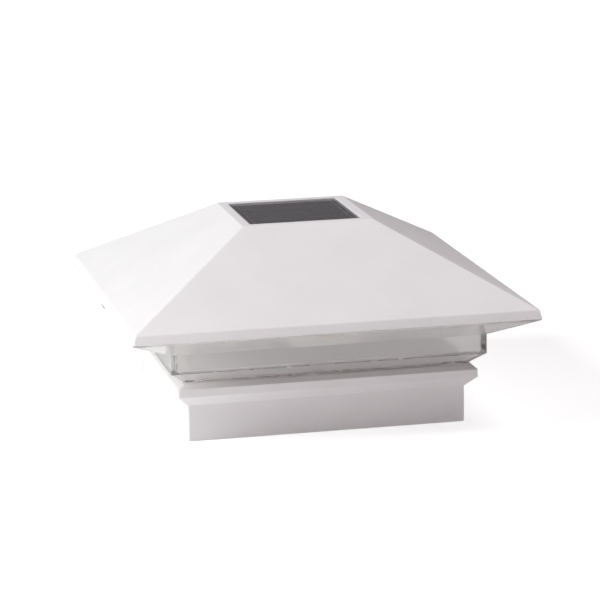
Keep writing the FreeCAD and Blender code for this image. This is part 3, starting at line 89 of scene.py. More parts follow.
class Slot(Enum):
    """The record's finishes, by slot name."""

    WHITE_MOULDING = "white_moulding"
    WHITE_INNER = "white_inner"
    CLEAR_MOULDING = "clear_moulding"
    SCREW_STEEL = "screw_steel"
    FOAM_TAPE = "foam_tape"
    PANEL_BOARD = "panel_board"
    SOLAR_CELL = "solar_cell"
    TINNED_METAL = "tinned_metal"
    PANEL_RESIN = "panel_resin"
    BATTERY_WRAP = "battery_wrap"
    SEAL_RUBBER = "seal_rubber"
    GREEN_BOARD = "green_board"
    BLACK_PLASTIC = "black_plastic"
    FERRITE = "ferrite"
    CAPACITOR_CAN = "capacitor_can"
    RED_WIRE = "red_wire"
    BLACK_WIRE = "black_wire"
    LED_HOUSING = "led_housing"
    LED_RESIN = "led_resin"
    WHITE_BOARD = "white_board"


class Side(Enum):
    """The four sides of the square, as quarter turns from the front."""

    FRONT = 0
    RIGHT = 1
    BACK = 2
    LEFT = 3

    @property
    def label(self) -> str:
        """The side's name in node names."""
        return self.name.lower()

    @property
    def turn(self) -> Matrix:
        """The turn that carries a front piece to this side."""
        return Matrix.Rotation(self.value * math.pi / 2, 4, "Z")


# ---------------------------------------------------------------------------------------
# Finishes
# ---------------------------------------------------------------------------------------
class Recipe:
    """A material in the making: one main shader with the nodes that feed it."""

    def __init__(self, name: str) -> None:
        """Starts an empty material.

        Args:
            name: the material's name.
        """
        self.material = bpy.data.materials.new(name)
        self.material.use_nodes = True
        self.tree = self.material.node_tree
        self.tree.nodes.clear()
        self.output = self.add("ShaderNodeOutputMaterial")
        self.shader = self.add("ShaderNodeBsdfPrincipled")
        self.tree.links.new(self.shader.outputs["BSDF"], self.output.inputs["Surface"])

    def add(self, kind: str, **settings: object) -> bpy.types.Node:
        """Adds a node and sets its plain properties.

        Args:
            kind: the node's type.
            **settings: properties of the node.

        Returns:
            The new node.
        """
        node = self.tree.nodes.new(kind)
        for key, value in settings.items():
            setattr(node, key, value)
        return node

    def feed(self, socket: bpy.types.NodeSocket, value: object) -> None:
        """Links a socket, or sets it when the value is plain.

        Args:
            socket: the input to feed.
            value: another node's output, or a number, vector or colour.
        """
        if isinstance(value, bpy.types.NodeSocket):
            self.tree.links.new(value, socket)
        elif isinstance(value, tuple) and len(value) == 3 and socket.type == "RGBA":
            socket.default_value = (*value, 1.0)
        else:
            socket.default_value = value

    def shade(self, **inputs: object) -> None:
        """Feeds the main shader; underscores in the names stand for spaces."""
        for key, value in inputs.items():
            self.feed(self.shader.inputs[key.replace("_", " ")], value)

    def let_through(self, share: object, tint: Colour = WHITE) -> None:
        """Lets a share of the light pass straight through the surface.

        Args:
            share: number or output, 1 where everything passes.
            tint: colour of what passes.
        """
        through = self.add("ShaderNodeBsdfTransparent")
        self.feed(through.inputs["Color"], tint)
        mix = self.add("ShaderNodeMixShader")
        surfaces = (share, self.shader.outputs["BSDF"], through.outputs["BSDF"])
        for socket, value in zip(mix.inputs, surfaces):
            self.feed(socket, value)
        self.feed(self.output.inputs["Surface"], mix.outputs[0])

    def place(self, stretch: tuple[float, float, float] = (1, 1, 1)) -> bpy.types.NodeSocket:
        """Position on the object in metres, stretched along its axes.

        Args:
            stretch: how much faster the pattern runs along x, y and z.

        Returns:
            The vector output.
        """
        mapping = self.add("ShaderNodeMapping")
        self.feed(mapping.inputs["Vector"], self.add("ShaderNodeTexCoord").outputs["Object"])
        mapping.inputs["Scale"].default_value = stretch
        return mapping.outputs["Vector"]

    def noise(
        self,
        grain: float,
        stretch: tuple[float, float, float] = (1, 1, 1),
        detail: float = 3.0,
    ) -> bpy.types.NodeSocket:
        """Cloudy noise.

        Args:
            grain: size of its clouds in metres.
            stretch: how much faster it runs along x, y and z.
            detail: number of finer octaves.

        Returns:
            A value round 0.5.
        """
        node = self.add("ShaderNodeTexNoise")
        self.feed(node.inputs["Vector"], self.place(stretch))
        node.inputs["Scale"].default_value = 1 / grain
        node.inputs["Detail"].default_value = detail
        return node.outputs["Fac"]

    def calc(self, operation: str, *values: object) -> bpy.types.NodeSocket:
        """Arithmetic on one, two or three values.

        Args:
            operation: the math node's operation.
            *values: numbers or outputs.

        Returns:
            The result.
        """
        node = self.add("ShaderNodeMath", operation=operation)
        for socket, value in zip(node.inputs, values):
            self.feed(socket, value)
        return node.outputs[0]

    def span(self, value: object, source: Point, target: Point) -> bpy.types.NodeSocket:
        """Carries a value from one range to another, held at the ends.

        Args:
            value: number or output.
            source: range of the value.
            target: range of the result.

        Returns:
            The result.
        """
        node = self.add("ShaderNodeMapRange")
        for socket, number in zip(node.inputs, (value, *source, *target)):
            self.feed(socket, number)
        return node.outputs[0]

    def blend(self, share: object, first: object, second: object) -> bpy.types.NodeSocket:
        """Mixes two colours.

        Args:
            share: how much of the second.
            first: colour or output.
            second: colour or output.

        Returns:
            The mixed colour.
        """
        node = self.add("ShaderNodeMix", data_type="RGBA")
        # Of its many sockets, inputs 6 and 7 and output 2 are the colours.
        self.feed(node.inputs[0], share)
        self.feed(node.inputs[6], first)
        self.feed(node.inputs[7], second)
        return node.outputs[2]

    def bump(
        self, height: object, depth: float, under: bpy.types.NodeSocket | None = None
    ) -> bpy.types.NodeSocket:
        """Relief from a height pattern.

        Args:
            height: pattern from 0 to 1.
            depth: its full depth in metres.
            under: relief that this one lies on.

        Returns:
            The normal output.
        """
        node = self.add("ShaderNodeBump")
        node.inputs["Distance"].default_value = depth
        self.feed(node.inputs["Height"], height)
        if under is not None:
            self.feed(node.inputs["Normal"], under)
        return node.outputs["Normal"]

    def soft_edges(self, radius: float) -> bpy.types.NodeSocket:
        """Normals that turn softly round sharp edges.

        Args:
            radius: reach of the softening in metres.

        Returns:
            The normal output.
        """
        node = self.add("ShaderNodeBevel", samples=4)
        node.inputs["Radius"].default_value = radius
        return node.outputs["Normal"]

    def edge_share(self, radius: float) -> bpy.types.NodeSocket:
        """How near a point is to an edge: 0 on a face and 1 on the edge.

        Args:
            radius: reach of the edge in metres.

        Returns:
            A value from 0 to 1.
        """
        turn = self.add("ShaderNodeVectorMath", operation="DOT_PRODUCT")
        self.feed(turn.inputs[0], self.soft_edges(radius))
        self.feed(turn.inputs[1], self.add("ShaderNodeNewGeometry").outputs["Normal"])
        return self.span(turn.outputs["Value"], (0.8, 1.0), (1.0, 0.0))


def scaled(colour: Colour, factor: float) -> Colour:
    """A colour made lighter or darker."""
    return tuple(min(1.0, part * factor) for part in colour)


@dataclass(frozen=True)
class MouldedPlastic:
    """Opaque moulded plastic with a fine spark grain and rubbed edges.

    Attributes:
        slot: the finish that it gives.
        colour: its colour.
        roughness: how matt it is.
        grain: size of the surface grain in metres.
        relief: depth of that grain in metres.
        mottling: share by which its tone wanders.
        rub: how much lighter its edges are rubbed.
        depth: how far light spreads inside it, in metres.
        sheen: how much its skin mirrors, 0.5 where it is bare.
    """

    slot: Slot
    colour: Colour
    roughness: float = 0.4
    grain: float = 0.35 * MM
    relief: float = 0.006 * MM
    mottling: float = 0.03
    rub: float = 0.0
    depth: float = 0.0
    sheen: float = 0.5

    def make(self) -> bpy.types.Material:
        """Builds the material.

        Returns:
            The material.
        """
        recipe = Recipe(self.slot.value)
        cloud = recipe.noise(28 * MM, detail=5)
        fine = recipe.noise(self.grain, detail=2)
        tone = recipe.blend(
            recipe.span(cloud, (0.35, 0.65), (0, 1)),
            scaled(self.colour, 1 - self.mottling),
            self.colour,
        )
        if self.rub:
            edge = recipe.calc("MULTIPLY", recipe.edge_share(0.5 * MM), self.rub)
            tone = recipe.blend(edge, tone, scaled(self.colour, 1.12))
        low, high = self.roughness - 0.05, self.roughness + 0.05
        matt = recipe.span(recipe.noise(6 * MM), (0.3, 0.7), (low, high))
        waves = recipe.bump(cloud, 0.05 * MM, recipe.soft_edges(0.25 * MM))
        recipe.shade(
            Base_Color=tone,
            Roughness=matt,
            Normal=recipe.bump(fine, self.relief, waves),
            IOR=1.5,
            Specular_IOR_Level=self.sheen,
        )
        if self.depth:
            recipe.shade(Subsurface_Weight=0.15, Subsurface_Scale=self.depth)
            recipe.shade(Subsurface_Radius=(1.0, 0.9, 0.8))
        return recipe.material


@dataclass(frozen=True)
class ClearPlastic:
    """Clear moulded plastic with faint flow lines, which lets lamps light what is behind.

    Attributes:
        slot: the finish that it gives.
        colour: tint of the light that goes through.
        roughness: how hazy its skin is.
        flow: depth of the flow lines in metres.
        shadow: how much lamp light goes through, by colour.
        haze: share of the light that its skin scatters.
        straight: share of all light that passes without bending.
        face: which face of the moulding it is for, where the slot has several.
    """

    slot: Slot
    colour: Colour
    roughness: float = 0.05
    flow: float = 0.02 * MM
    shadow: Colour = (0.96, 0.96, 0.955)
    haze: float = 0.0
    straight: float = 0.0
    face: str = ""

    def make(self) -> bpy.types.Material:
        """Builds the material.

        Returns:
            The material.
        """
        recipe = Recipe(self.slot.value + self.face)
        lines = recipe.noise(14 * MM, stretch=(0.5, 0.5, 9.0), detail=3)
        haze = recipe.noise(9 * MM, detail=4)
        recipe.shade(
            Base_Color=self.colour,
            Roughness=recipe.span(haze, (0.3, 0.7), (self.roughness * 0.5, self.roughness * 1.5)),
            Normal=recipe.bump(lines, self.flow),
            Transmission_Weight=1.0 - self.haze,
            IOR=1.49,
        )
        path = recipe.add("ShaderNodeLightPath").outputs
        lamp_ray = recipe.calc("MAXIMUM", path["Is Shadow Ray"], path["Is Diffuse Ray"])
        recipe.let_through(recipe.calc("MAXIMUM", lamp_ray, self.straight), self.shadow)
        return recipe.material


@dataclass(frozen=True)
class PlatedMetal:
    """Plated sheet or turned metal with fine rubbed lines.

    Attributes:
        slot: the finish that it gives.
        colour: its colour.
        roughness: how matt it is.
        stain: colour of the dull patches in the plating.
    """

    slot: Slot
    colour: Colour
    roughness: float = 0.3
    stain: Colour = (0.42, 0.40, 0.36)

    def make(self) -> bpy.types.Material:
        """Builds the material.

        Returns:
            The material.
        """
        recipe = Recipe(self.slot.value)
        patches = recipe.noise(2.2 * MM, detail=5)
        lines = recipe.noise(0.25 * MM, stretch=(0.25, 1.0, 1.0), detail=3)
        tone = recipe.blend(
            recipe.span(patches, (0.52, 0.75), (0.0, 0.6)), self.colour, self.stain
        )
        low, high = self.roughness - 0.08, self.roughness + 0.16
        recipe.shade(
            Base_Color=tone,
            Metallic=1.0,
            Roughness=recipe.span(patches, (0.35, 0.7), (low, high)),
            Normal=recipe.bump(lines, 0.004 * MM, recipe.soft_edges(0.12 * MM)),
        )
        return recipe.material


@dataclass(frozen=True)
class SoftMatter:
    """Foam or rubber: dull, slightly open-pored.

    Attributes:
        slot: the finish that it gives.
        colour: its colour.
        pore: size of the pores in metres.
        relief: depth of the pores in metres.
    """

    slot: Slot
    colour: Colour
    pore: float = 0.4 * MM
    relief: float = 0.05 * MM

    def make(self) -> bpy.types.Material:
        """Builds the material.

        Returns:
            The material.
        """
        recipe = Recipe(self.slot.value)
        cells = recipe.add("ShaderNodeTexVoronoi")
        recipe.feed(cells.inputs["Vector"], recipe.place())
        cells.inputs["Scale"].default_value = 1 / self.pore
        dust = recipe.noise(3 * MM, detail=4)
        tone = recipe.blend(
            recipe.span(dust, (0.4, 0.7), (0.0, 0.5)), self.colour, scaled(self.colour, 1.6)
        )
        recipe.shade(
            Base_Color=tone,
            Roughness=recipe.span(dust, (0.3, 0.7), (0.75, 0.95)),
            Normal=recipe.bump(cells.outputs["Distance"], self.relief),
        )
        return recipe.material


@dataclass(frozen=True)
class SolarCell:
    """Dark cell with its crystals and faint saw lines along x.

    Attributes:
        slot: the finish that it gives.
        colour: the cell's own colour.
        crystal: colour of its lighter crystals.
        line: colour of the saw lines.
        pitch: spacing of the saw lines in metres.
        width: width of a saw line in metres.
    """

    slot: Slot = Slot.SOLAR_CELL
    colour: Colour = (0.045, 0.042, 0.055)
    crystal: Colour = (0.062, 0.057, 0.072)
    line: Colour = (0.10, 0.095, 0.11)
    pitch: float = 0.89 * MM
    width: float = 0.12 * MM

    def make(self) -> bpy.types.Material:
        """Builds the material.

        Returns:
            The material.
        """
        recipe = Recipe(self.slot.value)
        axes = recipe.add("ShaderNodeSeparateXYZ")
        recipe.feed(axes.inputs[0], recipe.place())
        steps = recipe.calc("FRACT", recipe.calc("DIVIDE", axes.outputs["Y"], self.pitch))
        cut = recipe.calc("LESS_THAN", steps, self.width / self.pitch)
        crystals = recipe.add("ShaderNodeTexVoronoi")
        recipe.feed(crystals.inputs["Vector"], recipe.place((1.0, 1.0, 0.0)))
        crystals.inputs["Scale"].default_value = 1 / (3 * MM)
        facet = recipe.add("ShaderNodeSeparateXYZ")
        recipe.feed(facet.inputs[0], crystals.outputs["Color"])
        silicon = recipe.blend(facet.outputs["X"], self.colour, self.crystal)
        recipe.shade(
            Base_Color=recipe.blend(cut, silicon, self.line),
            Roughness=recipe.span(facet.outputs["Y"], (0, 1), (0.45, 0.55)),
            Specular_IOR_Level=0.25,
        )
        return recipe.material


@dataclass(frozen=True)
class PrintedBoard:
    """Lacquered circuit board with copper tracks showing through as a lighter green.

    Attributes:
        slot: the finish that it gives.
        colour: colour of the lacquer.
        track: colour of the lacquer over copper.
        width: width of a track in metres.
        run: length of a track before it turns, in metres.
        pitch: spacing of the tracks in metres.
    """

    slot: Slot
    colour: Colour = (0.035, 0.17, 0.06)
    track: Colour = (0.06, 0.26, 0.09)
    width: float = 0.25 * MM
    run: float = 5.5 * MM
    pitch: float = 2.4 * MM

    def make(self) -> bpy.types.Material:
        """Builds the material.

        Returns:
            The material.
        """
        recipe = Recipe(self.slot.value)
        bricks = recipe.add("ShaderNodeTexBrick", offset=0.5)
        recipe.feed(bricks.inputs["Vector"], recipe.place())
        layout = (
            ("Scale", 1.0),
            ("Mortar Size", self.width),
            ("Brick Width", self.run),
            ("Row Height", self.pitch),
        )
        for name, value in layout:
            bricks.inputs[name].default_value = value
        shown = recipe.calc("GREATER_THAN", recipe.noise(7 * MM, detail=0), 0.5)
        copper = recipe.calc("MULTIPLY", bricks.outputs["Fac"], shown)
        weave = recipe.noise(0.5 * MM, detail=2)
        recipe.shade(
            Base_Color=recipe.blend(copper, self.colour, self.track),
            Roughness=recipe.span(weave, (0.3, 0.7), (0.22, 0.38)),
            Normal=recipe.bump(copper, 0.035 * MM, recipe.soft_edges(0.15 * MM)),
            Coat_Weight=0.3,
        )
        return recipe.material


@dataclass(frozen=True)
class LedResin:
    """Yellow tinted resin dome over an LED.

    Attributes:
        slot: the finish that it gives.
        colour: its colour.
    """

    slot: Slot = Slot.LED_RESIN
    colour: Colour = (0.88, 0.72, 0.24)

    def make(self) -> bpy.types.Material:
        """Builds the material.

        Returns:
            The material.
        """
        recipe = Recipe(self.slot.value)
        grains = recipe.noise(0.3 * MM, detail=3)
        recipe.shade(
            Base_Color=recipe.blend(grains, self.colour, scaled(self.colour, 0.8)),
            Roughness=recipe.span(grains, (0.3, 0.7), (0.12, 0.22)),
            Normal=recipe.bump(grains, 0.004 * MM),
            Subsurface_Weight=0.4,
            Subsurface_Scale=0.6 * MM,
        )
        return recipe.material


Finish = (
    MouldedPlastic | ClearPlastic | PlatedMetal | SoftMatter | SolarCell | PrintedBoard | LedResin
)


@dataclass
class Palette:
    """Every finish of the object, made once and handed out by slot.

    Attributes:
        made: materials made so far.
    """

    made: dict[Slot, bpy.types.Material] = field(default_factory=dict)

    def inner_clear(self) -> bpy.types.Material:
        """The lens ring's inner faces, which come out of the mould slightly hazy.

        Returns:
            The material.
        """
        return ClearPlastic(
            Slot.CLEAR_MOULDING,
            (0.97, 0.965, 0.955),
            roughness=0.16,
            flow=0.004 * MM,
            haze=0.3,
            face="_inner",
        ).make()

    def edge_clear(self) -> bpy.types.Material:
        """Dark clear plastic that paints shade on the lens ring's chamfer edges and inner corners.

        Returns:
            The material.
        """
        return ClearPlastic(
            Slot.CLEAR_MOULDING,
            # dark tint: painted shade and painted dark refraction for the chamfer's foot, the
            # wall's foot and the inner corners
            (0.36, 0.33, 0.335),
            roughness=0.25,
            flow=0.0,
            haze=0.6,
            face="_edge",
        ).make()

    def resin_seat(self) -> bpy.types.Material:
        """The resin's underside, which wets the cells so that nothing mirrors there.

        Returns:
            The material.
        """
        return ClearPlastic(
            Slot.PANEL_RESIN, RESIN_TINT, shadow=RESIN_TINT, straight=1.0, face="_seat"
        ).make()

    def finishes(self) -> list[Finish]:
        """The finishes of the object's slots.

        Returns:
            The finishes, one for each slot.
        """
        return [
            MouldedPlastic(
                Slot.WHITE_MOULDING,
                (0.84, 0.82, 0.825),
                roughness=0.56,
                rub=0.5,
                depth=0.4 * MM,
                sheen=0.2,
            ),
            MouldedPlastic(Slot.WHITE_INNER, (0.82, 0.785, 0.785), roughness=0.45, rub=0.3),
            ClearPlastic(
                Slot.CLEAR_MOULDING,
                (0.98, 0.975, 0.97),
                roughness=0.04,
                flow=0.0015 * MM,
                haze=0.06,
            ),
            ClearPlastic(
                Slot.PANEL_RESIN, (0.66, 0.63, 0.71), roughness=0.08, flow=0.0, shadow=RESIN_TINT
            ),
            PlatedMetal(Slot.SCREW_STEEL, (0.60, 0.60, 0.62), roughness=0.32),
            PlatedMetal(Slot.TINNED_METAL, (0.72, 0.71, 0.68), roughness=0.28),
            PlatedMetal(
                Slot.CAPACITOR_CAN, (0.20, 0.23, 0.30), roughness=0.4, stain=(0.12, 0.13, 0.18)
            ),
            SoftMatter(Slot.FOAM_TAPE, (0.03, 0.03, 0.03)),
            SoftMatter(Slot.SEAL_RUBBER, (0.02, 0.02, 0.02), pore=0.15 * MM, relief=0.01 * MM),
            SoftMatter(Slot.FERRITE, (0.05, 0.047, 0.045), pore=0.2 * MM, relief=0.02 * MM),
            SolarCell(),
            PrintedBoard(Slot.GREEN_BOARD),
            PrintedBoard(Slot.PANEL_BOARD, (0.62, 0.62, 0.58), track=(0.66, 0.60, 0.48)),
            PrintedBoard(Slot.WHITE_BOARD, (0.80, 0.80, 0.77), track=(0.76, 0.77, 0.70)),
            MouldedPlastic(
                Slot.BATTERY_WRAP,
                (0.05, 0.22, 0.12),
                roughness=0.25,
                grain=1.5 * MM,
                relief=0.02 * MM,
                mottling=0.1,
            ),
            MouldedPlastic(
                Slot.BLACK_PLASTIC, (0.018, 0.018, 0.02), roughness=0.5, mottling=0.2, rub=0.2
            ),
            self.insulation(Slot.RED_WIRE, (0.48, 0.02, 0.015), 0.12),
            self.insulation(Slot.BLACK_WIRE, (0.015, 0.015, 0.016), 0.2),
            MouldedPlastic(
                Slot.LED_HOUSING,
                (0.82, 0.81, 0.78),
                roughness=0.3,
                grain=0.2 * MM,
                relief=0.002 * MM,
            ),
            LedResin(),
        ]

    def insulation(self, slot: Slot, colour: Colour, mottling: float) -> MouldedPlastic:
        """The soft skin of a wire.

        Args:
            slot: the finish that it gives.
            colour: its colour.
            mottling: share by which its tone wanders.

        Returns:
            The finish.
        """
        return MouldedPlastic(
            slot,
            colour,
            roughness=0.35,
            grain=0.8 * MM,
            relief=0.01 * MM,
            mottling=mottling,
        )

    def prepare(self) -> None:
        """Makes every material."""
        for finish in self.finishes():
            self.made[finish.slot] = finish.make()
            LOG.info("finish %s", finish.slot.value)

    def dress(self, piece: bpy.types.Object, slot: Slot) -> None:
        """Gives a whole piece one finish."""
        piece.data.materials.clear()
        piece.data.materials.append(self.made[slot])


# ---------------------------------------------------------------------------------------
# Mesh tools
# ---------------------------------------------------------------------------------------
@dataclass(frozen=True)
class Corner:
    """One corner of a moulding's cross-section, in millimetres.

    Attributes:
        half: distance from the middle.
        height: height above the foot.
        radius: rounding of the corner in the section.
    """

    half: float
    height: float
    radius: float = 0.3

    @property
    def at(self) -> Vector:
        """The corner as a vector."""
        return Vector((self.half, self.height))

    def rounded(self, before: "Corner", after: "Corner", steps: int) -> list[Vector]:
        """The arc that rounds this corner.

        Args:
            before: the corner before it.
            after: the corner after it.
            steps: number of straight pieces in the arc.

        Returns:
            The arc's points, or the bare corner where it has no radius.
        """
        arrive = (before.at - self.at).normalized()
        leave = (after.at - self.at).normalized()
        half_angle = arrive.angle(leave) / 2
        if self.radius <= 0 or half_angle > math.pi / 2 - 0.01:
            return [self.at]
        trim = self.radius / math.tan(half_angle)
        centre = self.at + (arrive + leave).normalized() * (self.radius / math.sin(half_angle))
        start = self.at + arrive * trim - centre
        end = self.at + leave * trim - centre
        sweep = start.angle_signed(end)
        return [
            centre + Matrix.Rotation(-sweep * step / steps, 2) @ start
            for step in range(steps + 1)
        ]


@dataclass
class SquareMoulding:
    """A square moulding: one cross-section carried round a square plan.

    Attributes:
        name: name of the piece.
        section: the section's corners in order.
        closed: True where the section closes on itself, False where both ends are capped.
        plan_radius: rounding of the square's corners, in millimetres.
        steps: straight pieces in each arc of the section.
        plan_steps: straight pieces in each corner of the plan.
    """

    name: str
    section: list[Corner]
    closed: bool
    plan_radius: float = 1.2
    steps: int = 4
    plan_steps: int = 6

    def outline(self) -> list[Vector]:
        """The section with its corners rounded.

        Returns:
            The section's points in order, in millimetres.
        """
        points = []
        count = len(self.section)
        for index, corner in enumerate(self.section):
            if not self.closed and index in (0, count - 1):
                points.append(corner.at)
                continue
            before = self.section[index - 1]
            after = self.section[(index + 1) % count]
            points += corner.rounded(before, after, self.steps)
        return points

    def ring(self, half: float, height: float) -> list[Vector]:
        """The square plan at one point of the section.

        Args:
            half: half width of the square in millimetres.
            height: its height in millimetres.

        Returns:
            The ring's points in metres.
        """
        points = []
        inner = half - self.plan_radius
        for quarter in range(4):
            turn = Matrix.Rotation(quarter * math.pi / 2, 2)
            for step in range(self.plan_steps + 1):
                angle = step * math.pi / 2 / self.plan_steps
                arc = Vector((math.cos(angle), math.sin(angle))) * self.plan_radius
                x, y = turn @ (Vector((inner, inner)) + arc)
                points.append(Vector((x, y, height)) * MM)
        return points

    def build(self) -> bpy.types.Object:
        """Makes the mesh as one closed skin.

        Returns:
            The new piece.
        """
        mesh = bmesh.new()
        rings = [
            [mesh.verts.new(point) for point in self.ring(half, height)]
            for half, height in self.outline()
        ]
        pairs = list(zip(rings, rings[1:]))
        if self.closed:
            pairs.append((rings[-1], rings[0]))
        else:
            mesh.faces.new(rings[0])
            mesh.faces.new(rings[-1])
        for near, far in pairs:
            for index in range(len(near)):
                follower = (index + 1) % len(near)
                mesh.faces.new((near[index], near[follower], far[follower], far[index]))
        return finished(self.name, mesh)


def finished(name: str, mesh: bmesh.types.BMesh) -> bpy.types.Object:
    """Turns a mesh in the making into an object in the scene.

    Args:
        name: the object's name.
        mesh: the mesh, which is used up.

    Returns:
        The new object.
    """
    bmesh.ops.recalc_face_normals(mesh, faces=mesh.faces)
    for face in mesh.faces:
        face.smooth = True
    data = bpy.data.meshes.new(name)
    mesh.to_mesh(data)
    mesh.free()
    piece = bpy.data.objects.new(name, data)
    bpy.context.scene.collection.objects.link(piece)
    return piece


def prism(
    name: str,
    outline: list[Point],
    low: float,
    high: float,
    rounding: float = 0.0,
) -> bpy.types.Object:
    """An upright prism over a plan outline, in millimetres.

    Args:
        name: name of the piece.
        outline: plan corners in order.
        low: height of its foot.
        high: height of its top.
        rounding: radius that softens all its edges.

    Returns:
        The new piece.
    """
    mesh = bmesh.new()
    foot = [mesh.verts.new(Vector((x, y, low)) * MM) for x, y in outline]
    top = [mesh.verts.new(Vector((x, y, high)) * MM) for x, y in outline]
    mesh.faces.new(foot)
    mesh.faces.new(top)
    for index in range(len(outline)):
        follower = (index + 1) % len(outline)
        mesh.faces.new((foot[index], foot[follower], top[follower], top[index]))
    if rounding:
        bmesh.ops.bevel(
            mesh,
            geom=mesh.edges[:],
            offset=rounding * MM,
            segments=3,
            profile=0.5,
            affect="EDGES",
        )
    return finished(name, mesh)


def box_plan(x: Point, y: Point) -> list[Point]:
    """The plan of a box from its two spans."""
    return [(x[0], y[0]), (x[1], y[0]), (x[1], y[1]), (x[0], y[1])]


def turned(
    name: str, profile: list[Point], centre: Point = (0.0, 0.0), steps: int = 32
) -> bpy.types.Object:
    """A round piece turned about an upright axis, in millimetres.

    Args:
        name: name of the piece.
        profile: radius and height pairs, from axis to axis.
        centre: plan place of the axis.
        steps: facets round it.

    Returns:
        The new piece.
    """
    mesh = bmesh.new()
    x, y = centre
    rings = []
    for radius, height in profile:
        if radius == 0:
            rings.append([mesh.verts.new(Vector((x, y, height)) * MM)] * steps)
            continue
        ring = []
        for step in range(steps):
            angle = step * 2 * math.pi / steps
            place = Vector((x + radius * math.cos(angle), y + radius * math.sin(angle), height))
            ring.append(mesh.verts.new(place * MM))
        rings.append(ring)
    for near, far in zip(rings, rings[1:]):
        for index in range(steps):
            follower = (index + 1) % steps
            around = (near[index], near[follower], far[follower], far[index])
            mesh.faces.new(list(dict.fromkeys(around)))
    return finished(name, mesh)


def on_four_sides(piece: bpy.types.Object) -> list[bpy.types.Object]:
    """A front piece repeated on every side.

    Args:
        piece: the piece as it lies at the front.

    Returns:
        The four pieces.
    """
    copies = [piece]
    for side in (Side.RIGHT, Side.BACK, Side.LEFT):
        copy = piece.copy()
        copy.data = piece.data.copy()
        copy.data.transform(side.turn)
        copy.name = f"{piece.name}_{side.label}"
        bpy.context.scene.collection.objects.link(copy)
        copies.append(copy)
    return copies


def merged(name: str, pieces: list[bpy.types.Object]) -> bpy.types.Object:
    """Several pieces as one, each keeping its own finish.

    Args:
        name: name of the new piece.
        pieces: the pieces, which are used up.

    Returns:
        The new piece.
    """
    mesh = bmesh.new()
    finishes = []
    for piece in pieces:
        start = len(mesh.faces)
        mesh.from_mesh(piece.data)
        mesh.faces.ensure_lookup_table()
        for finish in piece.data.materials:
            if finish not in finishes:
                finishes.append(finish)
            for face in mesh.faces[start:]:
                face.material_index = finishes.index(finish)
    whole = finished(name, mesh)
    for finish in finishes:
        whole.data.materials.append(finish)
    for piece in pieces:
        bpy.data.meshes.remove(piece.data)
    return whole


class Fit(Enum):
    """How one solid is put together with another."""

    JOIN = "UNION"
    CUT = "DIFFERENCE"


def combine(piece: bpy.types.Object, tools: list[bpy.types.Object], fit: Fit) -> None:
    """Joins solids to a piece or cuts them out of it, and uses them up.

    Args:
        piece: the piece that changes.
        tools: the solids.
        fit: whether they are joined or cut out.
    """
    for tool in tools:
        modifier = piece.modifiers.new(tool.name, "BOOLEAN")
        modifier.operation = fit.value
        modifier.solver = "EXACT"
        modifier.object = tool
    settle(piece)
    for tool in tools:
        bpy.data.meshes.remove(tool.data)


def settle(piece: bpy.types.Object) -> None:
    """Writes a piece's modifiers into its mesh.

    Args:
        piece: the piece.
    """
    graph = bpy.context.evaluated_depsgraph_get()
    mesh = bpy.data.meshes.new_from_object(piece.evaluated_get(graph), depsgraph=graph)
    piece.modifiers.clear()
    old = piece.data
    piece.data = mesh
    bpy.data.meshes.remove(old)
    mesh.name = piece.name


def even_normals(piece: bpy.types.Object, sharp: float = 40.0) -> None:
    """Keeps flat faces flat beside their rounded edges.

    Args:
        piece: the piece.
        sharp: angle in degrees above which an edge stays sharp.
    """
    piece.data.shade_smooth()
    piece.data.set_sharp_from_angle(angle=math.radians(sharp))
    modifier = piece.modifiers.new("even_normals", "WEIGHTED_NORMAL")
    modifier.mode = "FACE_AREA_WITH_ANGLE"
    modifier.weight = 90
    modifier.keep_sharp = True


# ---------------------------------------------------------------------------------------
# Sub-assemblies
# ---------------------------------------------------------------------------------------
@dataclass
class SubAssembly:
    """Shared by all sub-assemblies: the palette and the way pieces are handed over.

    Attributes:
        palette: the finishes.
    """

    palette: Palette

    def hand_over(
        self, piece: bpy.types.Object, body: Body, slot: Slot, *nodes: str
    ) -> bpy.types.Object:
        """Dresses a bare piece, puts it on its body and stands it for its nodes.

        Args:
            piece: the piece, in place.
            body: what it rides on.
            slot: its finish, or its main one where its parts are dressed already.
            *nodes: the nodes that it stands for.

        Returns:
            The piece.
        """
        if not piece.data.materials:
            self.palette.dress(piece, slot)
        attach(piece, body.value)
        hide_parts(*nodes)
        LOG.info("%s: %d faces", piece.name, len(piece.data.polygons))
        return piece


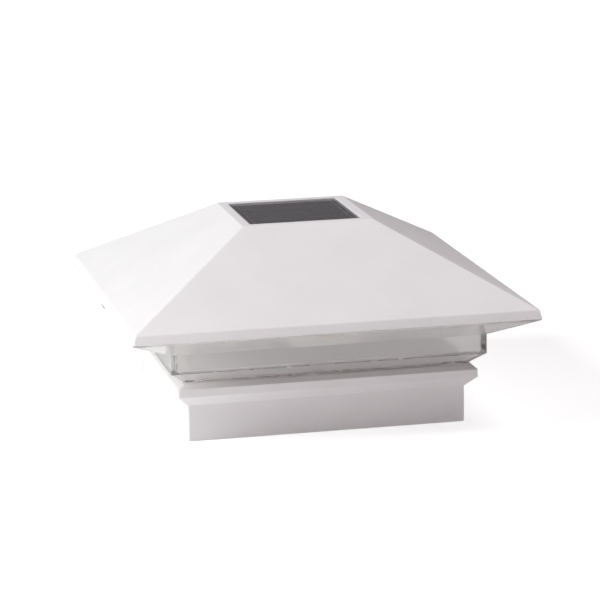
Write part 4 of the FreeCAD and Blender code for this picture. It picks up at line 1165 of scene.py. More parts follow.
@dataclass
class BaseCollar(SubAssembly):
    """White skirt, moulding and deck.

    Attributes:
        skirt_half: half width of the skirt.
        socket_half: half width of the socket inside it.
        skirt_top: where the skirt meets the moulding.
        band_half: half width of the moulding's upright band.
        band_low: lower edge of the band.
        band_high: upper edge of the band.
        shoulder: height of the shoulder beside the lens.
        shoulder_half: half width there.
        seat: top of the deck.
        seat_half: half width of the raised deck.
        pad_half: outside of the seat pads.
        pad_corner: inner end of the corner pads.
        pad_middle: span of the small pad near the middle of a side.
        deck_low: underside of the deck.
        hollow_low: foot of the hollow behind the band.
        hollow_half: half width of the hollow.
        hollow_wall: lower and upper end of its upright wall.
        rib_half: half gap between the post ribs.
        rib_pitch: spacing of the post ribs.
        rib_thick: thickness of a post rib.
        screw_place: deck screws, from both centre lines.
        screw_hole: radius of a screw hole's countersink and of its shank.
        gate: place of the dimple round the moulding gate.
        gate_radius: radius of that dimple.
        gate_depth: depth of that dimple.
    """

    skirt_half: float = 68.0
    socket_half: float = 65.1
    skirt_top: float = 17.7
    band_half: float = 73.4
    band_low: float = 23.0
    band_high: float = 26.8
    shoulder: float = 28.4
    shoulder_half: float = 69.5
    seat: float = 29.4
    seat_half: float = 63.5
    pad_half: float = 67.5
    pad_corner: float = 57.0
    pad_middle: Point = (-10.0, -4.0)
    deck_low: float = 26.8
    hollow_low: float = 18.9
    hollow_half: float = 69.6
    hollow_wall: Point = (23.4, 24.6)
    rib_half: float = 64.3
    rib_pitch: float = 36.0
    rib_thick: float = 1.6
    screw_place: float = 62.5
    screw_hole: Point = (3.1, 1.7)
    gate: Point = (-5.0, -33.0)
    gate_radius: float = 4.2
    gate_depth: float = 1.2

    def section(self) -> list[Corner]:
        """The moulding's section, from the middle of the deck out and back in below.

        Returns:
            The section's corners in order.
        """
        return [
            Corner(self.seat_half - 4, self.seat),
            Corner(self.seat_half, self.seat, 0.25),
            Corner(self.seat_half, self.shoulder, 0.2),
            Corner(self.shoulder_half, self.shoulder, 0.3),
            Corner(self.band_half, self.band_high, 0.5),
            Corner(self.band_half, self.band_low, 0.5),
            Corner(self.skirt_half, self.skirt_top, 0.6),
            Corner(self.skirt_half, 0.0, 0.5),
            Corner(self.socket_half, 0.0, 0.4),
            Corner(self.socket_half, self.hollow_low, 0.5),
            Corner(self.hollow_half, self.hollow_wall[0], 0.4),
            Corner(self.hollow_half, self.hollow_wall[1], 0.4),
            Corner(self.socket_half, self.deck_low, 0.3),
            Corner(self.socket_half - 4, self.deck_low),
        ]

    def pads(self) -> list[bpy.types.Object]:
        """The pads that carry the lens flange's edge; it stands clear between them.

        Returns:
            The pads of all four sides.
        """
        low, high = self.shoulder - 0.4, self.seat
        corner = (self.pad_corner, self.pad_half)
        out = (-self.pad_half, -self.pad_corner)
        middle = (-self.pad_half, -self.seat_half + 1)
        return [
            *on_four_sides(prism("corner_pad", box_plan(corner, out), low, high, 0.12)),
            *on_four_sides(prism("side_pad", box_plan(self.pad_middle, middle), low, high, 0.12)),
        ]

    def ribs(self) -> list[bpy.types.Object]:
        """Upright ribs inside the skirt that take up the play round the post.

        Returns:
            The ribs of all four sides.
        """
        found = []
        for index in (-1, 0, 1):
            middle = index * self.rib_pitch
            x = (middle - self.rib_thick / 2, middle + self.rib_thick / 2)
            y = (-self.socket_half - 1.2, -self.rib_half)
            rib = prism(f"post_rib_{index + 1}", box_plan(x, y), 1.5, self.deck_low + 0.4, 0.15)
            found += on_four_sides(rib)
        return found

    def holes(self) -> list[bpy.types.Object]:
        """The gate's dimple and the countersunk screw holes.

        Returns:
            The solids to cut away.
        """
        low, high = self.deck_low, self.seat
        edge = 0.25
        wide = self.gate_radius
        cuts = [
            turned(
                "gate_dimple",
                [
                    (0, high - self.gate_depth),
                    (wide - edge, high - self.gate_depth),
                    (wide, high - self.gate_depth + edge),
                    (wide, high - edge),
                    (wide + edge, high),
                    (wide + edge, high + 1),
                    (0, high + 1),
                ],
                self.gate,
            )
        ]
        sink, shank = self.screw_hole
        profile = [
            (0, low - 1),
            (sink, low - 1),
            (sink, low),
            (shank, low + sink - shank),
            (shank, high + 1),
            (0, high + 1),
        ]
        for x in (-self.screw_place, self.screw_place):
            for y in (-self.screw_place, self.screw_place):
                cuts.append(turned("screw_hole", profile, (x, y), 24))
        return cuts

    def build(self) -> None:
        """Builds the collar and hands it over."""
        piece = SquareMoulding("collar_moulding", self.section(), closed=False).build()
        combine(piece, self.pads() + self.ribs(), Fit.JOIN)
        combine(piece, self.holes(), Fit.CUT)
        even_normals(piece)
        self.hand_over(piece, Body.BASE, Slot.WHITE_MOULDING, "base_collar")


@dataclass
class LensRing(SubAssembly):
    """Clear ring: flange, chamfer, upright wall, flared soffit and the lip for the roof.

    Attributes:
        foot: bottom of the ring.
        foot_half: half width of the foot.
        wall_half: half width of the upright wall.
        wall_low: lower edge of the wall.
        wall_high: upper edge of the wall.
        flare_half: half width of the soffit's edge.
        flare_low: lower edge of the thin land round the soffit.
        flare_top: the ledge that the roof stands on.
        lip: outer and inner half width of the lip.
        lip_top: top of the lip.
        lip_root: where the lip's inside meets the soffit's upper face.
        inner_half: half width inside the wall.
        inner_high: upper edge of the wall's inside.
        inner_low: lower edge of the wall's inside.
        flange_half: half width of the flange's top.
        flange_top: top of the flange.
        hole_half: half width of the hole in the flange.
        screw_place: bosses, from both centre lines.
        boss_radius: radius of a boss.
        boss_top: top of a boss.
        tab: span of the lift tab across the front.
        tab_low: bottom of the lift tab.
        neck: width and height of the strip at the chamfer's foot that is painted dark as shade.
        crease: height of the strip at the wall's foot that is painted dark as shade.
    """

    foot: float = 29.4
    foot_half: float = 69.5
    wall_half: float = 76.9
    wall_low: float = 35.3
    wall_high: float = 44.7
    flare_half: float = 97.8
    flare_low: float = 54.8
    flare_top: float = 55.4
    lip: Point = (95.5, 93.3)
    lip_top: float = 57.6
    lip_root: float = 55.79
    inner_half: float = 74.5
    inner_high: float = 46.17
    inner_low: float = 36.46
    flange_half: float = 68.66
    flange_top: float = 31.8
    hole_half: float = 58.8
    screw_place: float = 62.5
    boss_radius: float = 3.7
    boss_top: float = 34.4
    tab: Point = (0.9, 8.1)
    tab_low: float = 53.5
    neck: Point = (0.75, 0.6)
    crease: float = 0.5

    def section(self) -> list[Corner]:
        """The ring's section, round the outside and back down the inside.

        Returns:
            The section's corners in order.
        """
        return [
            Corner(self.foot_half, self.foot, 0.25),
            Corner(self.foot_half + self.neck[0], self.foot + self.neck[1]),
            Corner(self.wall_half, self.wall_low, 0.2),
            Corner(self.wall_half, self.wall_low + self.crease),
            Corner(self.wall_half, self.wall_high, 0.4),
            Corner(self.flare_half, self.flare_low, 0.12),
            Corner(self.flare_half, self.flare_top, 0.12),
            Corner(self.lip[0], self.flare_top, 0.12),
            Corner(self.lip[0], self.lip_top, 0.3),
            Corner(self.lip[1], self.lip_top, 0.3),
            Corner(self.lip[1], self.lip_root, 0.3),
            Corner(self.inner_half, self.inner_high, 0.5),
            Corner(self.inner_half, self.inner_low, 0.5),
            Corner(self.flange_half, self.flange_top, 0.4),
            Corner(self.hole_half, self.flange_top, 0.3),
            Corner(self.hole_half, self.foot, 0.3),
        ]

    def bosses(self) -> list[bpy.types.Object]:
        """The four screw bosses.

        Returns:
            The bosses.
        """
        low = self.flange_top - 1.4
        profile = [
            (0, low),
            (self.boss_radius, low),
            (self.boss_radius, self.boss_top - 0.4),
            (self.boss_radius - 0.12, self.boss_top - 0.12),
            (self.boss_radius - 0.4, self.boss_top),
            (0, self.boss_top),
        ]
        return [
            turned(f"boss_{x}_{y}", profile, (x * self.screw_place, y * self.screw_place))
            for x in (-1, 1)
            for y in (-1, 1)
        ]

    def pilots(self) -> list[bpy.types.Object]:
        """The holes that the screws go up.

        Returns:
            The solids to cut away.
        """
        low, high = self.foot - 1.4, self.boss_top - 1
        profile = [(0, low), (PILOT_RADIUS, low), (PILOT_RADIUS, high), (0, high)]
        return [
            turned(f"pilot_{x}_{y}", profile, (x * self.screw_place, y * self.screw_place), 20)
            for x in (-1, 1)
            for y in (-1, 1)
        ]

    def lift_tabs(self) -> list[bpy.types.Object]:
        """The small lift tab under the rim, on every side.

        Returns:
            The tabs of all four sides.
        """
        slope = (self.flare_low - self.wall_high) / (self.flare_half - self.wall_half)
        back = self.flare_half - (self.flare_top - self.tab_low) / slope - 0.8
        plan = box_plan(self.tab, (-self.flare_half, -back))
        tab = prism("lift_tab", plan, self.tab_low, self.flare_top - 0.05, 0.2)
        return on_four_sides(tab)

    def build(self) -> None:
        """Builds the ring and hands it over."""
        piece = SquareMoulding("lens_moulding", self.section(), closed=True).build()
        combine(piece, self.bosses() + self.lift_tabs(), Fit.JOIN)
        combine(piece, self.pilots(), Fit.CUT)
        even_normals(piece)
        self.hand_over(piece, Body.BASE, Slot.CLEAR_MOULDING, "lens_ring")
        self.haze_inside(piece)
        self.paint_edge_shade(piece)

    def haze_inside(self, piece: bpy.types.Object) -> None:
        """Gives the inside of the wall and soffit, and the thin land, the hazy skin.

        Args:
            piece: the ring.
        """
        piece.data.materials.append(self.palette.inner_clear())
        for face in piece.data.polygons:
            axis = 0 if abs(face.center.x) > abs(face.center.y) else 1
            reach = face.center[axis]
            outward = face.normal[axis] * math.copysign(1, reach)
            soffit = face.normal.z > 0.2 and face.center.z > self.wall_high * MM
            land = outward > 0.9 and abs(reach) > (self.flare_half - 0.5) * MM
            if outward < -0.3 or soffit or land:
                face.material_index = 1

    def paint_edge_shade(self, piece: bpy.types.Object) -> None:
        """Paints shade on the chamfer's edges and the wall's inner corners with the dark clear
        finish.

        Args:
            piece: the ring.
        """
        piece.data.materials.append(self.palette.edge_clear())
        for face in piece.data.polygons:
            reach = max(abs(face.center.x), abs(face.center.y)) / MM
            height = face.center.z / MM
            neck = self.foot < height < self.foot + self.neck[1]
            neck = neck and reach > self.foot_half - 0.3
            crease = self.wall_low - 0.12 < height < self.wall_low + self.crease
            crease = crease and reach > self.wall_half - 0.3
            slant = min(abs(face.normal.x), abs(face.normal.y)) > 0.25
            inward = face.normal.x * face.center.x + face.normal.y * face.center.y < 0
            corner = slant and inward and self.wall_low < height < self.wall_high + 1
            # neck, crease and inner corner faces get painted shade: the dark clear finish stands
            # in for the shadow in the gap and the dark refraction at the corners
            if neck or crease or (corner and reach > self.inner_half - 2):
                face.material_index = 2


@dataclass
class RoofShell(SubAssembly):
    """White pyramid roof with its rim and the recess for the panel.

    Attributes:
        rim_low: bottom of the rim.
        rim_half: half width at the rim's bottom.
        rim_high: top of the rim.
        rim_half_high: half width there.
        rim_inner: inside half width of the rim.
        top: height of the flat top.
        plateau: half width of the flat top.
        recess_half: half width of the recess.
        recess_floor: its floor.
        skin: thickness of the roof.
        ceiling: underside of the recess floor.
        post: place of a screw post in one quarter.
        post_radius: radius of a screw post.
        post_low: foot of the screw posts.
        wire_slot: half length and half width of the slot for the panel's wires.
    """

    rim_low: float = 55.5
    rim_half: float = 98.2
    rim_high: float = 59.8
    rim_half_high: float = 97.0
    rim_inner: float = 95.8
    top: float = 95.2
    plateau: float = 32.5
    recess_half: float = 27.9
    recess_floor: float = 90.6
    skin: float = 2.2
    ceiling: float = 88.6
    post: Point = (75.0, 60.0)
    post_radius: float = 3.6
    post_low: float = 58.6
    wire_slot: Point = (8.0, 3.5)

    @property
    def slope(self) -> float:
        """Rise of the roof for each millimetre inwards."""
        return (self.top - self.rim_high) / (self.rim_half_high - self.plateau)

    def inside(self, half: float) -> float:
        """Height of the inner face at a distance from the middle."""
        drop = self.skin * math.hypot(1.0, self.slope)
        return self.top - (half - self.plateau) * self.slope - drop

    def section(self) -> list[Corner]:
        """The roof's section, from the recess floor out and back in below.

        Returns:
            The section's corners in order.
        """
        ceiling_half = self.plateau + (self.inside(self.plateau) - self.ceiling) / self.slope
        return [
            Corner(self.recess_half - 4, self.recess_floor),
            Corner(self.recess_half, self.recess_floor, 0.3),
            Corner(self.recess_half, self.top, 0.35),
            Corner(self.plateau, self.top, 0.9),
            Corner(self.rim_half_high, self.rim_high, 1.6),
            Corner(self.rim_half, self.rim_low, 0.3),
            Corner(self.rim_inner, self.rim_low, 0.2),
            Corner(self.rim_inner, self.inside(self.rim_inner), 0.3),
            Corner(ceiling_half, self.ceiling, 0.6),
            Corner(ceiling_half - 4, self.ceiling),
        ]

    def posts(self) -> list[bpy.types.Object]:
        """The screw posts, grown into the skin.

        Returns:
            The posts.
        """
        x, y = self.post
        high = self.inside(x) + self.skin / 2
        profile = [
            (0, self.post_low),
            (self.post_radius - 0.2, self.post_low),
            (self.post_radius, self.post_low + 0.2),
            (self.post_radius, high - 1.6),
            (0, high),
        ]
        return [
            turned(f"screw_post_{a}_{b}", profile, (a * x, b * y))
            for a in (-1, 1)
            for b in (-1, 1)
        ]

    def cuts(self) -> list[bpy.types.Object]:
        """Pilot holes in the posts, and the slot that the panel's wires go through.

        Returns:
            The solids to cut away.
        """
        x, y = self.post
        low, high = self.post_low - 1.6, self.post_low + 8
        profile = [(0, low), (PILOT_RADIUS, low), (PILOT_RADIUS, high), (0, high)]
        holes = [
            turned(f"post_pilot_{a}_{b}", profile, (a * x, b * y), 20)
            for a in (-1, 1)
            for b in (-1, 1)
        ]
        length, width = self.wire_slot
        plan = box_plan((-length, length), (-width, width))
        slot = prism("wire_slot", plan, self.ceiling - 1.6, self.recess_floor + 1.4)
        return [*holes, slot]

    def ribs(self) -> list[bpy.types.Object]:
        """A rib under the middle of each slope, deeper towards the top.

        Returns:
            The ribs of all four sides.
        """
        near, far, thick, drop = 44.0, 88.0, 1.6, 6.0
        outline = [
            (far, self.inside(far) + 1),
            (near, self.inside(near) + 1),
            (near, self.inside(near) - drop),
            (far - 4, self.inside(far) - 0.6),
            (far, self.inside(far) - 0.6),
        ]
        rib = prism("slope_rib", outline, -thick / 2, thick / 2)
        # Stood up: the outline's second number becomes the height.
        rib.data.transform(Matrix.Rotation(math.pi / 2, 4, "X"))
        return on_four_sides(rib)

    def build(self) -> None:
        """Builds the roof and hands it over."""
        piece = SquareMoulding("roof_moulding", self.section(), closed=False).build()
        combine(piece, self.posts() + self.ribs(), Fit.JOIN)
        combine(piece, self.cuts(), Fit.CUT)
        even_normals(piece)
        self.hand_over(piece, Body.HEAD, Slot.WHITE_MOULDING, "roof_shell")


@dataclass
class SolarPanel(SubAssembly):
    """Solar panel: foam tape, board, cell strips, ribbons and cast clear face.

    Attributes:
        half: half width of the board and the face.
        tape: outer and inner half width of the tape.
        tape_low: foot of the tape.
        board_low: underside of the board.
        cells_low: underside of the cells.
        cells_high: top of the cells.
        face_low: underside of the clear face.
        face_high: top of the clear face.
        strips: number of cell strips.
        strip: half length and width of a strip.
        gap: gap between strips.
        fingers: printed fingers on a strip.
        ribbon_place: the ribbons, from the centre line.
    """

    half: float = 27.5
    tape: Point = (27.0, 20.0)
    tape_low: float = 90.6
    board_low: float = 91.4
    cells_low: float = 92.6
    cells_high: float = 92.9
    face_low: float = 93.05
    face_high: float = 94.5
    strips: int = 4
    strip: Point = (26.0, 12.5)
    gap: float = 0.5
    fingers: int = 7
    ribbon_place: float = 24.4

    @property
    def middles(self) -> list[float]:
        """Centre lines of the strips."""
        pitch = self.strip[1] + self.gap
        return [pitch * (index - (self.strips - 1) / 2) for index in range(self.strips)]

    def slab(self, name: str, heights: Point, rounds: Point) -> bpy.types.Object:
        """A square slab as wide as the panel.

        Args:
            name: its name.
            heights: its underside and its top.
            rounds: rounding of its lower and its upper edge.

        Returns:
            The slab.
        """
        middle = self.half - 8
        low, high = heights
        section = [
            Corner(middle, low),
            Corner(self.half, low, rounds[0]),
            Corner(self.half, high, rounds[1]),
            Corner(middle, high),
        ]
        return SquareMoulding(name, section, closed=False, plan_radius=0.8).build()

    def foam(self) -> bpy.types.Object:
        """The tape, cut as a frame.

        Returns:
            The tape.
        """
        outer, inner = self.tape
        section = [
            Corner(outer, self.tape_low, 0.1),
            Corner(outer, self.board_low, 0.1),
            Corner(inner, self.board_low, 0.1),
            Corner(inner, self.tape_low, 0.1),
        ]
        return SquareMoulding("tape_frame", section, closed=True, plan_radius=0.4).build()

    def cells(self) -> bpy.types.Object:
        """The strips with their printed fingers, in one piece.

        Returns:
            The strips and fingers as one piece.
        """
        length, width = self.strip
        found = []
        for index, middle in enumerate(self.middles):
            plan = box_plan((-length, length), (middle - width / 2, middle + width / 2))
            found.append(prism(f"strip_{index}", plan, self.cells_low, self.cells_high, 0.05))
            self.palette.dress(found[-1], Slot.SOLAR_CELL)
            for finger in range(self.fingers):
                y = middle + width * ((finger + 0.5) / self.fingers - 0.5)
                plan = box_plan((0.8 - length, length - 0.8), (y - 0.06, y + 0.06))
                high = self.cells_high + 0.03
                found.append(prism(f"finger_{index}_{finger}", plan, self.cells_high - 0.02, high))
                self.palette.dress(found[-1], Slot.TINNED_METAL)
        return merged("cell_strips", found)

    def ribbons(self) -> bpy.types.Object:
        """The two ribbons, with a dab of solder on every strip.

        Returns:
            Both ribbons as one piece.
        """
        found = []
        reach = self.middles[-1] + self.strip[1] / 2 - 0.7
        for x in (-self.ribbon_place, self.ribbon_place):
            plan = box_plan((x - 0.5, x + 0.5), (-reach, reach))
            found.append(prism("ribbon", plan, self.cells_high, self.cells_high + 0.13, 0.04))
            for middle in self.middles:
                dab = [(0, self.cells_high), (0.85, self.cells_high)]
                dab += [(0.6, self.cells_high + 0.1), (0, self.cells_high + 0.15)]
                found.append(turned("solder", dab, (x, middle), 16))
        return merged("ribbon_pair", found)

    def seat_resin(self, face: bpy.types.Object) -> None:
        """Gives the clear face's underside the finish of resin cast on the cells.

        Args:
            face: the clear face.
        """
        face.data.materials.append(self.palette.resin_seat())
        for polygon in face.data.polygons:
            if polygon.normal.z < -0.5:
                polygon.material_index = 1

    def build(self) -> None:
        """Builds the panel from the tape up and hands it over."""
        board = self.slab("panel_slab", (self.board_low, self.cells_low), (0.1, 0.1))
        face = self.slab("clear_face", (self.face_low, self.face_high), (0.05, 0.28))
        pieces = (
            (self.foam(), Slot.FOAM_TAPE, "panel_tape"),
            (board, Slot.PANEL_BOARD, "panel_backplate"),
            (face, Slot.PANEL_RESIN, "panel_cover"),
            (self.ribbons(), Slot.TINNED_METAL, "cell_ribbons"),
        )
        for piece, slot, node in pieces:
            even_normals(piece)
            self.hand_over(piece, Body.HEAD, slot, node)
        self.seat_resin(face)
        self.hand_over(self.cells(), Body.HEAD, Slot.SOLAR_CELL, "solar_cells")


@dataclass
class LedModules(SubAssembly):
    """The four upright LED boards, each with its housing and domed resin.

    Attributes:
        board_half: half width of a board.
        board: inner and outer face of a board, from the middle of the object.
        board_height: lower and upper edge of a board.
        centre: height of the LED.
        housing_half: half width of the housing.
        housing_face: its face.
        bed: floor of its cup.
        cup: radius of the cup at the floor and at the face.
        dome: radius of the resin.
        dome_top: how far out the resin stands.
    """

    board_half: float = 15.0
    board: Point = (65.0, 66.2)
    board_height: Point = (45.2, 56.5)
    centre: float = 50.2
    housing_half: float = 2.5
    housing_face: float = 67.7
    bed: float = 66.9
    cup: Point = (2.0, 2.2)
    dome: float = 1.95
    dome_top: float = 69.3

    def outward(
        self, name: str, profile: list[Point], place: Point, side: Side
    ) -> bpy.types.Object:
        """A round piece whose axis points out of a side.

        Args:
            name: its name.
            profile: radius and distance from the middle of the object.
            place: place across and height.
            side: the side.

        Returns:
            The piece.
        """
        piece = turned(name, profile, place, 28)
        piece.data.transform(side.turn @ Matrix.Rotation(math.pi / 2, 4, "X"))
        return piece

    def circuit(self, side: Side) -> bpy.types.Object:
        """A board with the two soldered tabs of its LED.

        Args:
            side: the side that it faces.

        Returns:
            The board.
        """
        inner, outer = self.board
        plan = box_plan((-self.board_half, self.board_half), (-outer, -inner))
        found = [prism("board", plan, *self.board_height, 0.12)]
        found[0].data.transform(side.turn)
        self.palette.dress(found[0], Slot.WHITE_BOARD)
        for x in (-self.housing_half - 0.3, self.housing_half + 0.3):
            for height in (self.centre - 1.2, self.centre + 1.2):
                mound = [(0, outer - 0.05), (0.75, outer - 0.05), (0.5, outer + 0.22)]
                mound.append((0, outer + 0.35))
                found.append(self.outward("solder", mound, (x, height), side))
                self.palette.dress(found[-1], Slot.TINNED_METAL)
        return merged(f"{side.label}_circuit", found)

    def housing(self, side: Side) -> bpy.types.Object:
        """An LED's housing with its cup.

        Args:
            side: the side that it faces.

        Returns:
            The housing.
        """
        half = self.housing_half
        plan = box_plan((-half, half), (-self.housing_face, -self.board[1]))
        body = prism(f"{side.label}_housing", plan, self.centre - half, self.centre + half, 0.15)
        body.data.transform(side.turn)
        floor, rim = self.cup
        out = self.housing_face + 0.2
        cone = [(0, self.bed), (floor, self.bed), (rim, out), (0, out)]
        combine(body, [self.outward("cup", cone, (0, self.centre), side)], Fit.CUT)
        return body

    def resin(self, side: Side) -> bpy.types.Object:
        """An LED's domed resin.

        Args:
            side: the side that it faces.

        Returns:
            The resin.
        """
        base = self.bed + 0.01
        rise = self.dome_top - self.housing_face
        profile = [(0, base), (self.dome, base)]
        steps = 8
        for step in range(steps):
            angle = step * math.pi / 2 / steps
            out = self.housing_face + rise * math.sin(angle)
            profile.append((self.dome * math.cos(angle), out))
        profile.append((0, self.dome_top))
        return self.outward(f"{side.label}_resin", profile, (0, self.centre), side)

    def build(self) -> None:
        """Builds the boards of all four sides."""
        for side in Side:
            housing, resin, circuit = self.housing(side), self.resin(side), self.circuit(side)
            for piece in (housing, resin, circuit):
                even_normals(piece)
            self.hand_over(housing, Body.HEAD, Slot.LED_HOUSING, f"led_chip_{side.label}")
            self.hand_over(resin, Body.HEAD, Slot.LED_RESIN, f"led_dome_{side.label}")
            self.hand_over(circuit, Body.HEAD, Slot.WHITE_BOARD, f"led_board_{side.label}")


@dataclass
class RoundedNodes(SubAssembly):
    """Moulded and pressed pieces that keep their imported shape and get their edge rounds.

    Attributes:
        rounds: edge radius by node, in millimetres.
    """

    frame: dict
    rounds: tuple[tuple[str, float], ...] = (
        ("ceiling_plate", 0.25),
        ("battery_door", 0.25),
        ("bay_seal", 0.2),
        ("main_board", 0.12),
        ("driver_chip", 0.1),
        ("board_resistors", 0.08),
        ("switch_can", 0.2),
        ("switch_knob", 0.2),
        ("contact_plate", 0.1),
        ("spring_plate", 0.1),
    )

    def rounded(self, node: bpy.types.Object, radius: float) -> bpy.types.Object:
        """A copy of a node with its edges rounded.

        Args:
            node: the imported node.
            radius: the rounding.

        Returns:
            The copy.
        """
        mesh = bmesh.new()
        mesh.from_mesh(node.data)
        bmesh.ops.remove_doubles(mesh, verts=mesh.verts, dist=0.002 * MM)
        bmesh.ops.dissolve_limit(
            mesh, angle_limit=math.radians(0.5), verts=mesh.verts, edges=mesh.edges
        )
        piece = finished(f"{node.name}_rounded", mesh)
        bevel = piece.modifiers.new("edge_rounds", "BEVEL")
        bevel.width = radius * MM
        bevel.segments = 2
        bevel.limit_method = "ANGLE"
        bevel.angle_limit = math.radians(40)
        settle(piece)
        even_normals(piece)
        return piece

    def build(self) -> None:
        """Rounds every node of the list and hands the pieces over."""
        record = self.frame["record"]
        slots = {row["node"]: row["material_slot"] for row in record["subparts"]}
        bodies = record["behaviour"]["bodies"]
        for name, radius in self.rounds:
            piece = self.rounded(self.frame["nodes"][name], radius)
            body = next(body for body, nodes in bodies.items() if name in nodes)
            self.hand_over(piece, Body(body), Slot(slots[name]), name)


@dataclass
class CarriedNodes:
    """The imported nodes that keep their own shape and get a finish.

    Attributes:
        palette: the finishes.
    """

    frame: dict
    palette: Palette

    def dress(self) -> None:
        """Gives every node the finish of its slot in the record."""
        for row in self.frame["record"]["subparts"]:
            node = self.frame["nodes"][row["node"]]
            if node.hide_render:
                continue
            self.palette.dress(node, Slot(row["material_slot"]))
            LOG.info("carried %s", row["node"])


# ---------------------------------------------------------------------------------------
# Studio
# ---------------------------------------------------------------------------------------
@dataclass(frozen=True)
class SoftLamp:
    """A rectangular soft lamp aimed at the object.

    Attributes:
        name: its name.
        place: where it hangs, in metres.
        size: its width and height in metres.
        power: its power in watts.
        colour: its tint.
        aim: the point that it faces.
    """

    name: str
    place: tuple[float, float, float]
    size: Point
    power: float
    colour: Colour = SOFT_PINK
    aim: tuple[float, float, float] = (0.0, 0.0, 0.04)

    def hang(self) -> None:
        """Puts the lamp up."""
        data = bpy.data.lights.new(self.name, "AREA")
        data.shape = "RECTANGLE"
        data.size, data.size_y = self.size
        data.energy = self.power
        data.color = self.colour
        lamp = bpy.data.objects.new(self.name, data)
        lamp.location = self.place
        lamp.visible_camera = False
        ray = Vector(self.aim) - Vector(self.place)
        lamp.rotation_euler = ray.to_track_quat("-Z", "Y").to_euler()
        bpy.context.scene.collection.objects.link(lamp)


@dataclass(frozen=True)
class Viewpoint:
    """The camera at the photograph's viewing angle.

    Attributes:
        place: where it stands, in metres.
        azimuth: its bearing in degrees, 0 from the front.
        elevation: how far above the horizon it stands, in degrees.
        roll: its tilt in degrees.
        lens: focal length in millimetres.
        sensor: width of its sensor in millimetres.
    """

    place: tuple[float, float, float] = (-0.28986, -1.32828, 0.35724)
    azimuth: float = -12.4051
    elevation: float = 12.7442
    roll: float = -0.93497
    lens: float = 167.76
    sensor: float = 36.0

    def set_up(self) -> None:
        """Makes the camera and gives it to the scene."""
        turn, rise, roll = (math.radians(a) for a in (self.azimuth, self.elevation, self.roll))
        back = Vector(
            (math.sin(turn) * math.cos(rise), -math.cos(turn) * math.cos(rise), math.sin(rise))
        )
        level = Vector((math.cos(turn), math.sin(turn), 0))
        upward = back.cross(level)
        right = level * math.cos(roll) + upward * math.sin(roll)
        up = upward * math.cos(roll) - level * math.sin(roll)
        data = bpy.data.cameras.new("viewpoint")
        data.lens = self.lens
        data.sensor_width = self.sensor
        camera = bpy.data.objects.new("viewpoint", data)
        camera.matrix_world = Matrix.Translation(self.place) @ Matrix(
            (right, up, back)
        ).transposed().to_4x4()
        bpy.context.scene.collection.objects.link(camera)
        bpy.context.scene.camera = camera


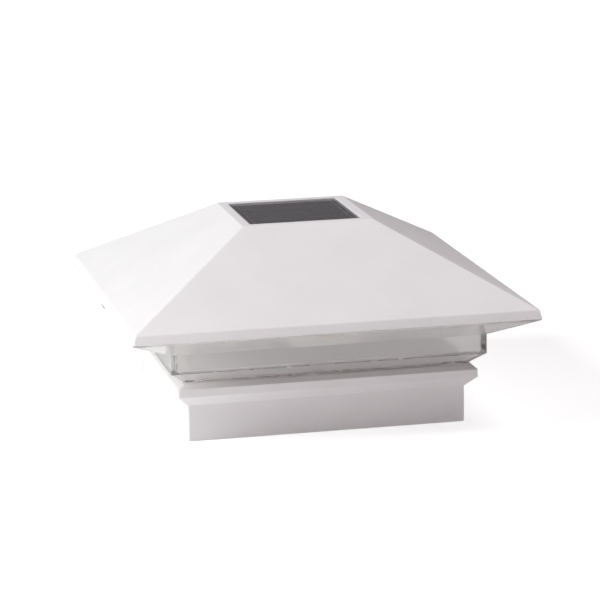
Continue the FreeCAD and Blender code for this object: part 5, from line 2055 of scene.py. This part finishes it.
@dataclass
class Studio:
    """Pale floor, soft lamps and a white surrounding.

    Attributes:
        floor_reach: half width of the floor in metres.
        floor_tone: colour of the floor.
        floor_near: how much the floor adds where it is seen directly near the object.
        floor_behind: how much it adds where it is seen through glass.
        behind: how bright the surroundings are through glass.
        mirrored: how bright they are in a mirror.
        fill: strength of the light from all round.
        tint: colour of that light.
        lamps: the soft lamps.
    """

    floor_reach: float = 6.0
    floor_tone: Colour = (0.85, 0.85, 0.85)
    floor_near: float = 0.58
    floor_behind: float = 0.15
    behind: float = 0.45
    mirrored: float = 0.25
    fill: float = 0.0
    tint: Colour = SOFT_PINK
    lamps: tuple[SoftLamp, ...] = (
        SoftLamp("left_key", (-0.819, 0.0, 0.614), (0.5, 0.5), 9.3, (0.975, 1.0, 0.995)),
        SoftLamp("right_top", (0.433, -0.25, 0.906), (0.5, 0.5), 4.0),
        SoftLamp("right_low", (0.858, -0.495, 0.179), (0.5, 0.5), 2.35),
        SoftLamp("left_near", (-0.344, -0.241, 0.062), (0.22, 0.10), 0.17),
        SoftLamp("front_near", (-0.241, -0.344, 0.062), (0.22, 0.10), 0.18),
        SoftLamp("under_glow", (-0.2, -0.1, -0.7), (0.6, 0.6), 0.7),
    )

    def floor(self) -> None:
        """Lays the floor that keeps the object's shadow and lets the glow from below through."""
        reach = self.floor_reach
        mesh = bmesh.new()
        corners = ((-reach, -reach), (reach, -reach), (reach, reach), (-reach, reach))
        mesh.faces.new([mesh.verts.new((x, y, 0.0)) for x, y in corners])
        floor = finished("studio_floor", mesh)
        recipe = Recipe("studio_floor")
        paper = recipe.noise(2 * MM, detail=3)
        distance = recipe.add("ShaderNodeVectorMath", operation="LENGTH")
        recipe.feed(distance.inputs[0], recipe.place())
        white = recipe.span(distance.outputs["Value"], (0.22, 0.9), (self.floor_near, 1.0))
        path = recipe.add("ShaderNodeLightPath").outputs
        seen = recipe.calc("MULTIPLY", path["Is Camera Ray"], white)
        through = recipe.calc("MULTIPLY", path["Is Transmission Ray"], self.floor_behind)
        recipe.shade(
            Base_Color=self.floor_tone,
            Roughness=recipe.span(paper, (0.3, 0.7), (0.85, 0.95)),
            Specular_IOR_Level=0.1,
            Emission_Color=WHITE,
            Emission_Strength=recipe.calc("ADD", seen, through),
        )
        below = recipe.add("ShaderNodeNewGeometry").outputs["Backfacing"]
        recipe.let_through(recipe.calc("MAXIMUM", below, path["Is Shadow Ray"]))
        floor.data.materials.append(recipe.material)

    def surroundings(self) -> None:
        """Sets the world: white where it is seen, grey behind glass, a soft fill elsewhere."""
        world = bpy.data.worlds.new("surroundings")
        bpy.context.scene.world = world
        world.use_nodes = True
        tree = world.node_tree
        tree.nodes.clear()
        output = tree.nodes.new("ShaderNodeOutputWorld")
        path = tree.nodes.new("ShaderNodeLightPath")
        layers = (
            ("", self.fill, self.tint),
            ("Is Glossy Ray", self.mirrored, self.tint),
            ("Is Transmission Ray", self.behind, self.tint),
            ("Is Camera Ray", 1.0, WHITE),
        )
        shown = None
        for ray, strength, colour in layers:
            light = tree.nodes.new("ShaderNodeBackground")
            light.inputs["Strength"].default_value = strength
            light.inputs["Color"].default_value = (*colour, 1.0)
            if shown is None:
                shown = light.outputs[0]
                continue
            mix = tree.nodes.new("ShaderNodeMixShader")
            tree.links.new(path.outputs[ray], mix.inputs[0])
            tree.links.new(shown, mix.inputs[1])
            tree.links.new(light.outputs[0], mix.inputs[2])
            shown = mix.outputs[0]
        tree.links.new(shown, output.inputs["Surface"])

    def set_up(self) -> None:
        """Builds the whole studio."""
        self.floor()
        self.surroundings()
        for lamp in self.lamps:
            lamp.hang()
        bpy.context.scene.view_settings.view_transform = "Standard"


def main() -> None:
    """Builds the sub-assemblies in order, then the studio."""
    logging.basicConfig(level=logging.INFO, format="%(name)s: %(message)s")
    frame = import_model()
    Viewpoint().set_up()
    palette = Palette()
    palette.prepare()
    parts = (
        BaseCollar(palette),
        LensRing(palette),
        RoofShell(palette),
        SolarPanel(palette),
        LedModules(palette),
        RoundedNodes(palette, frame),
    )
    for part in parts:
        part.build()
    CarriedNodes(frame, palette).dress()
    Studio().set_up()


if __name__ == "__main__":
    main()
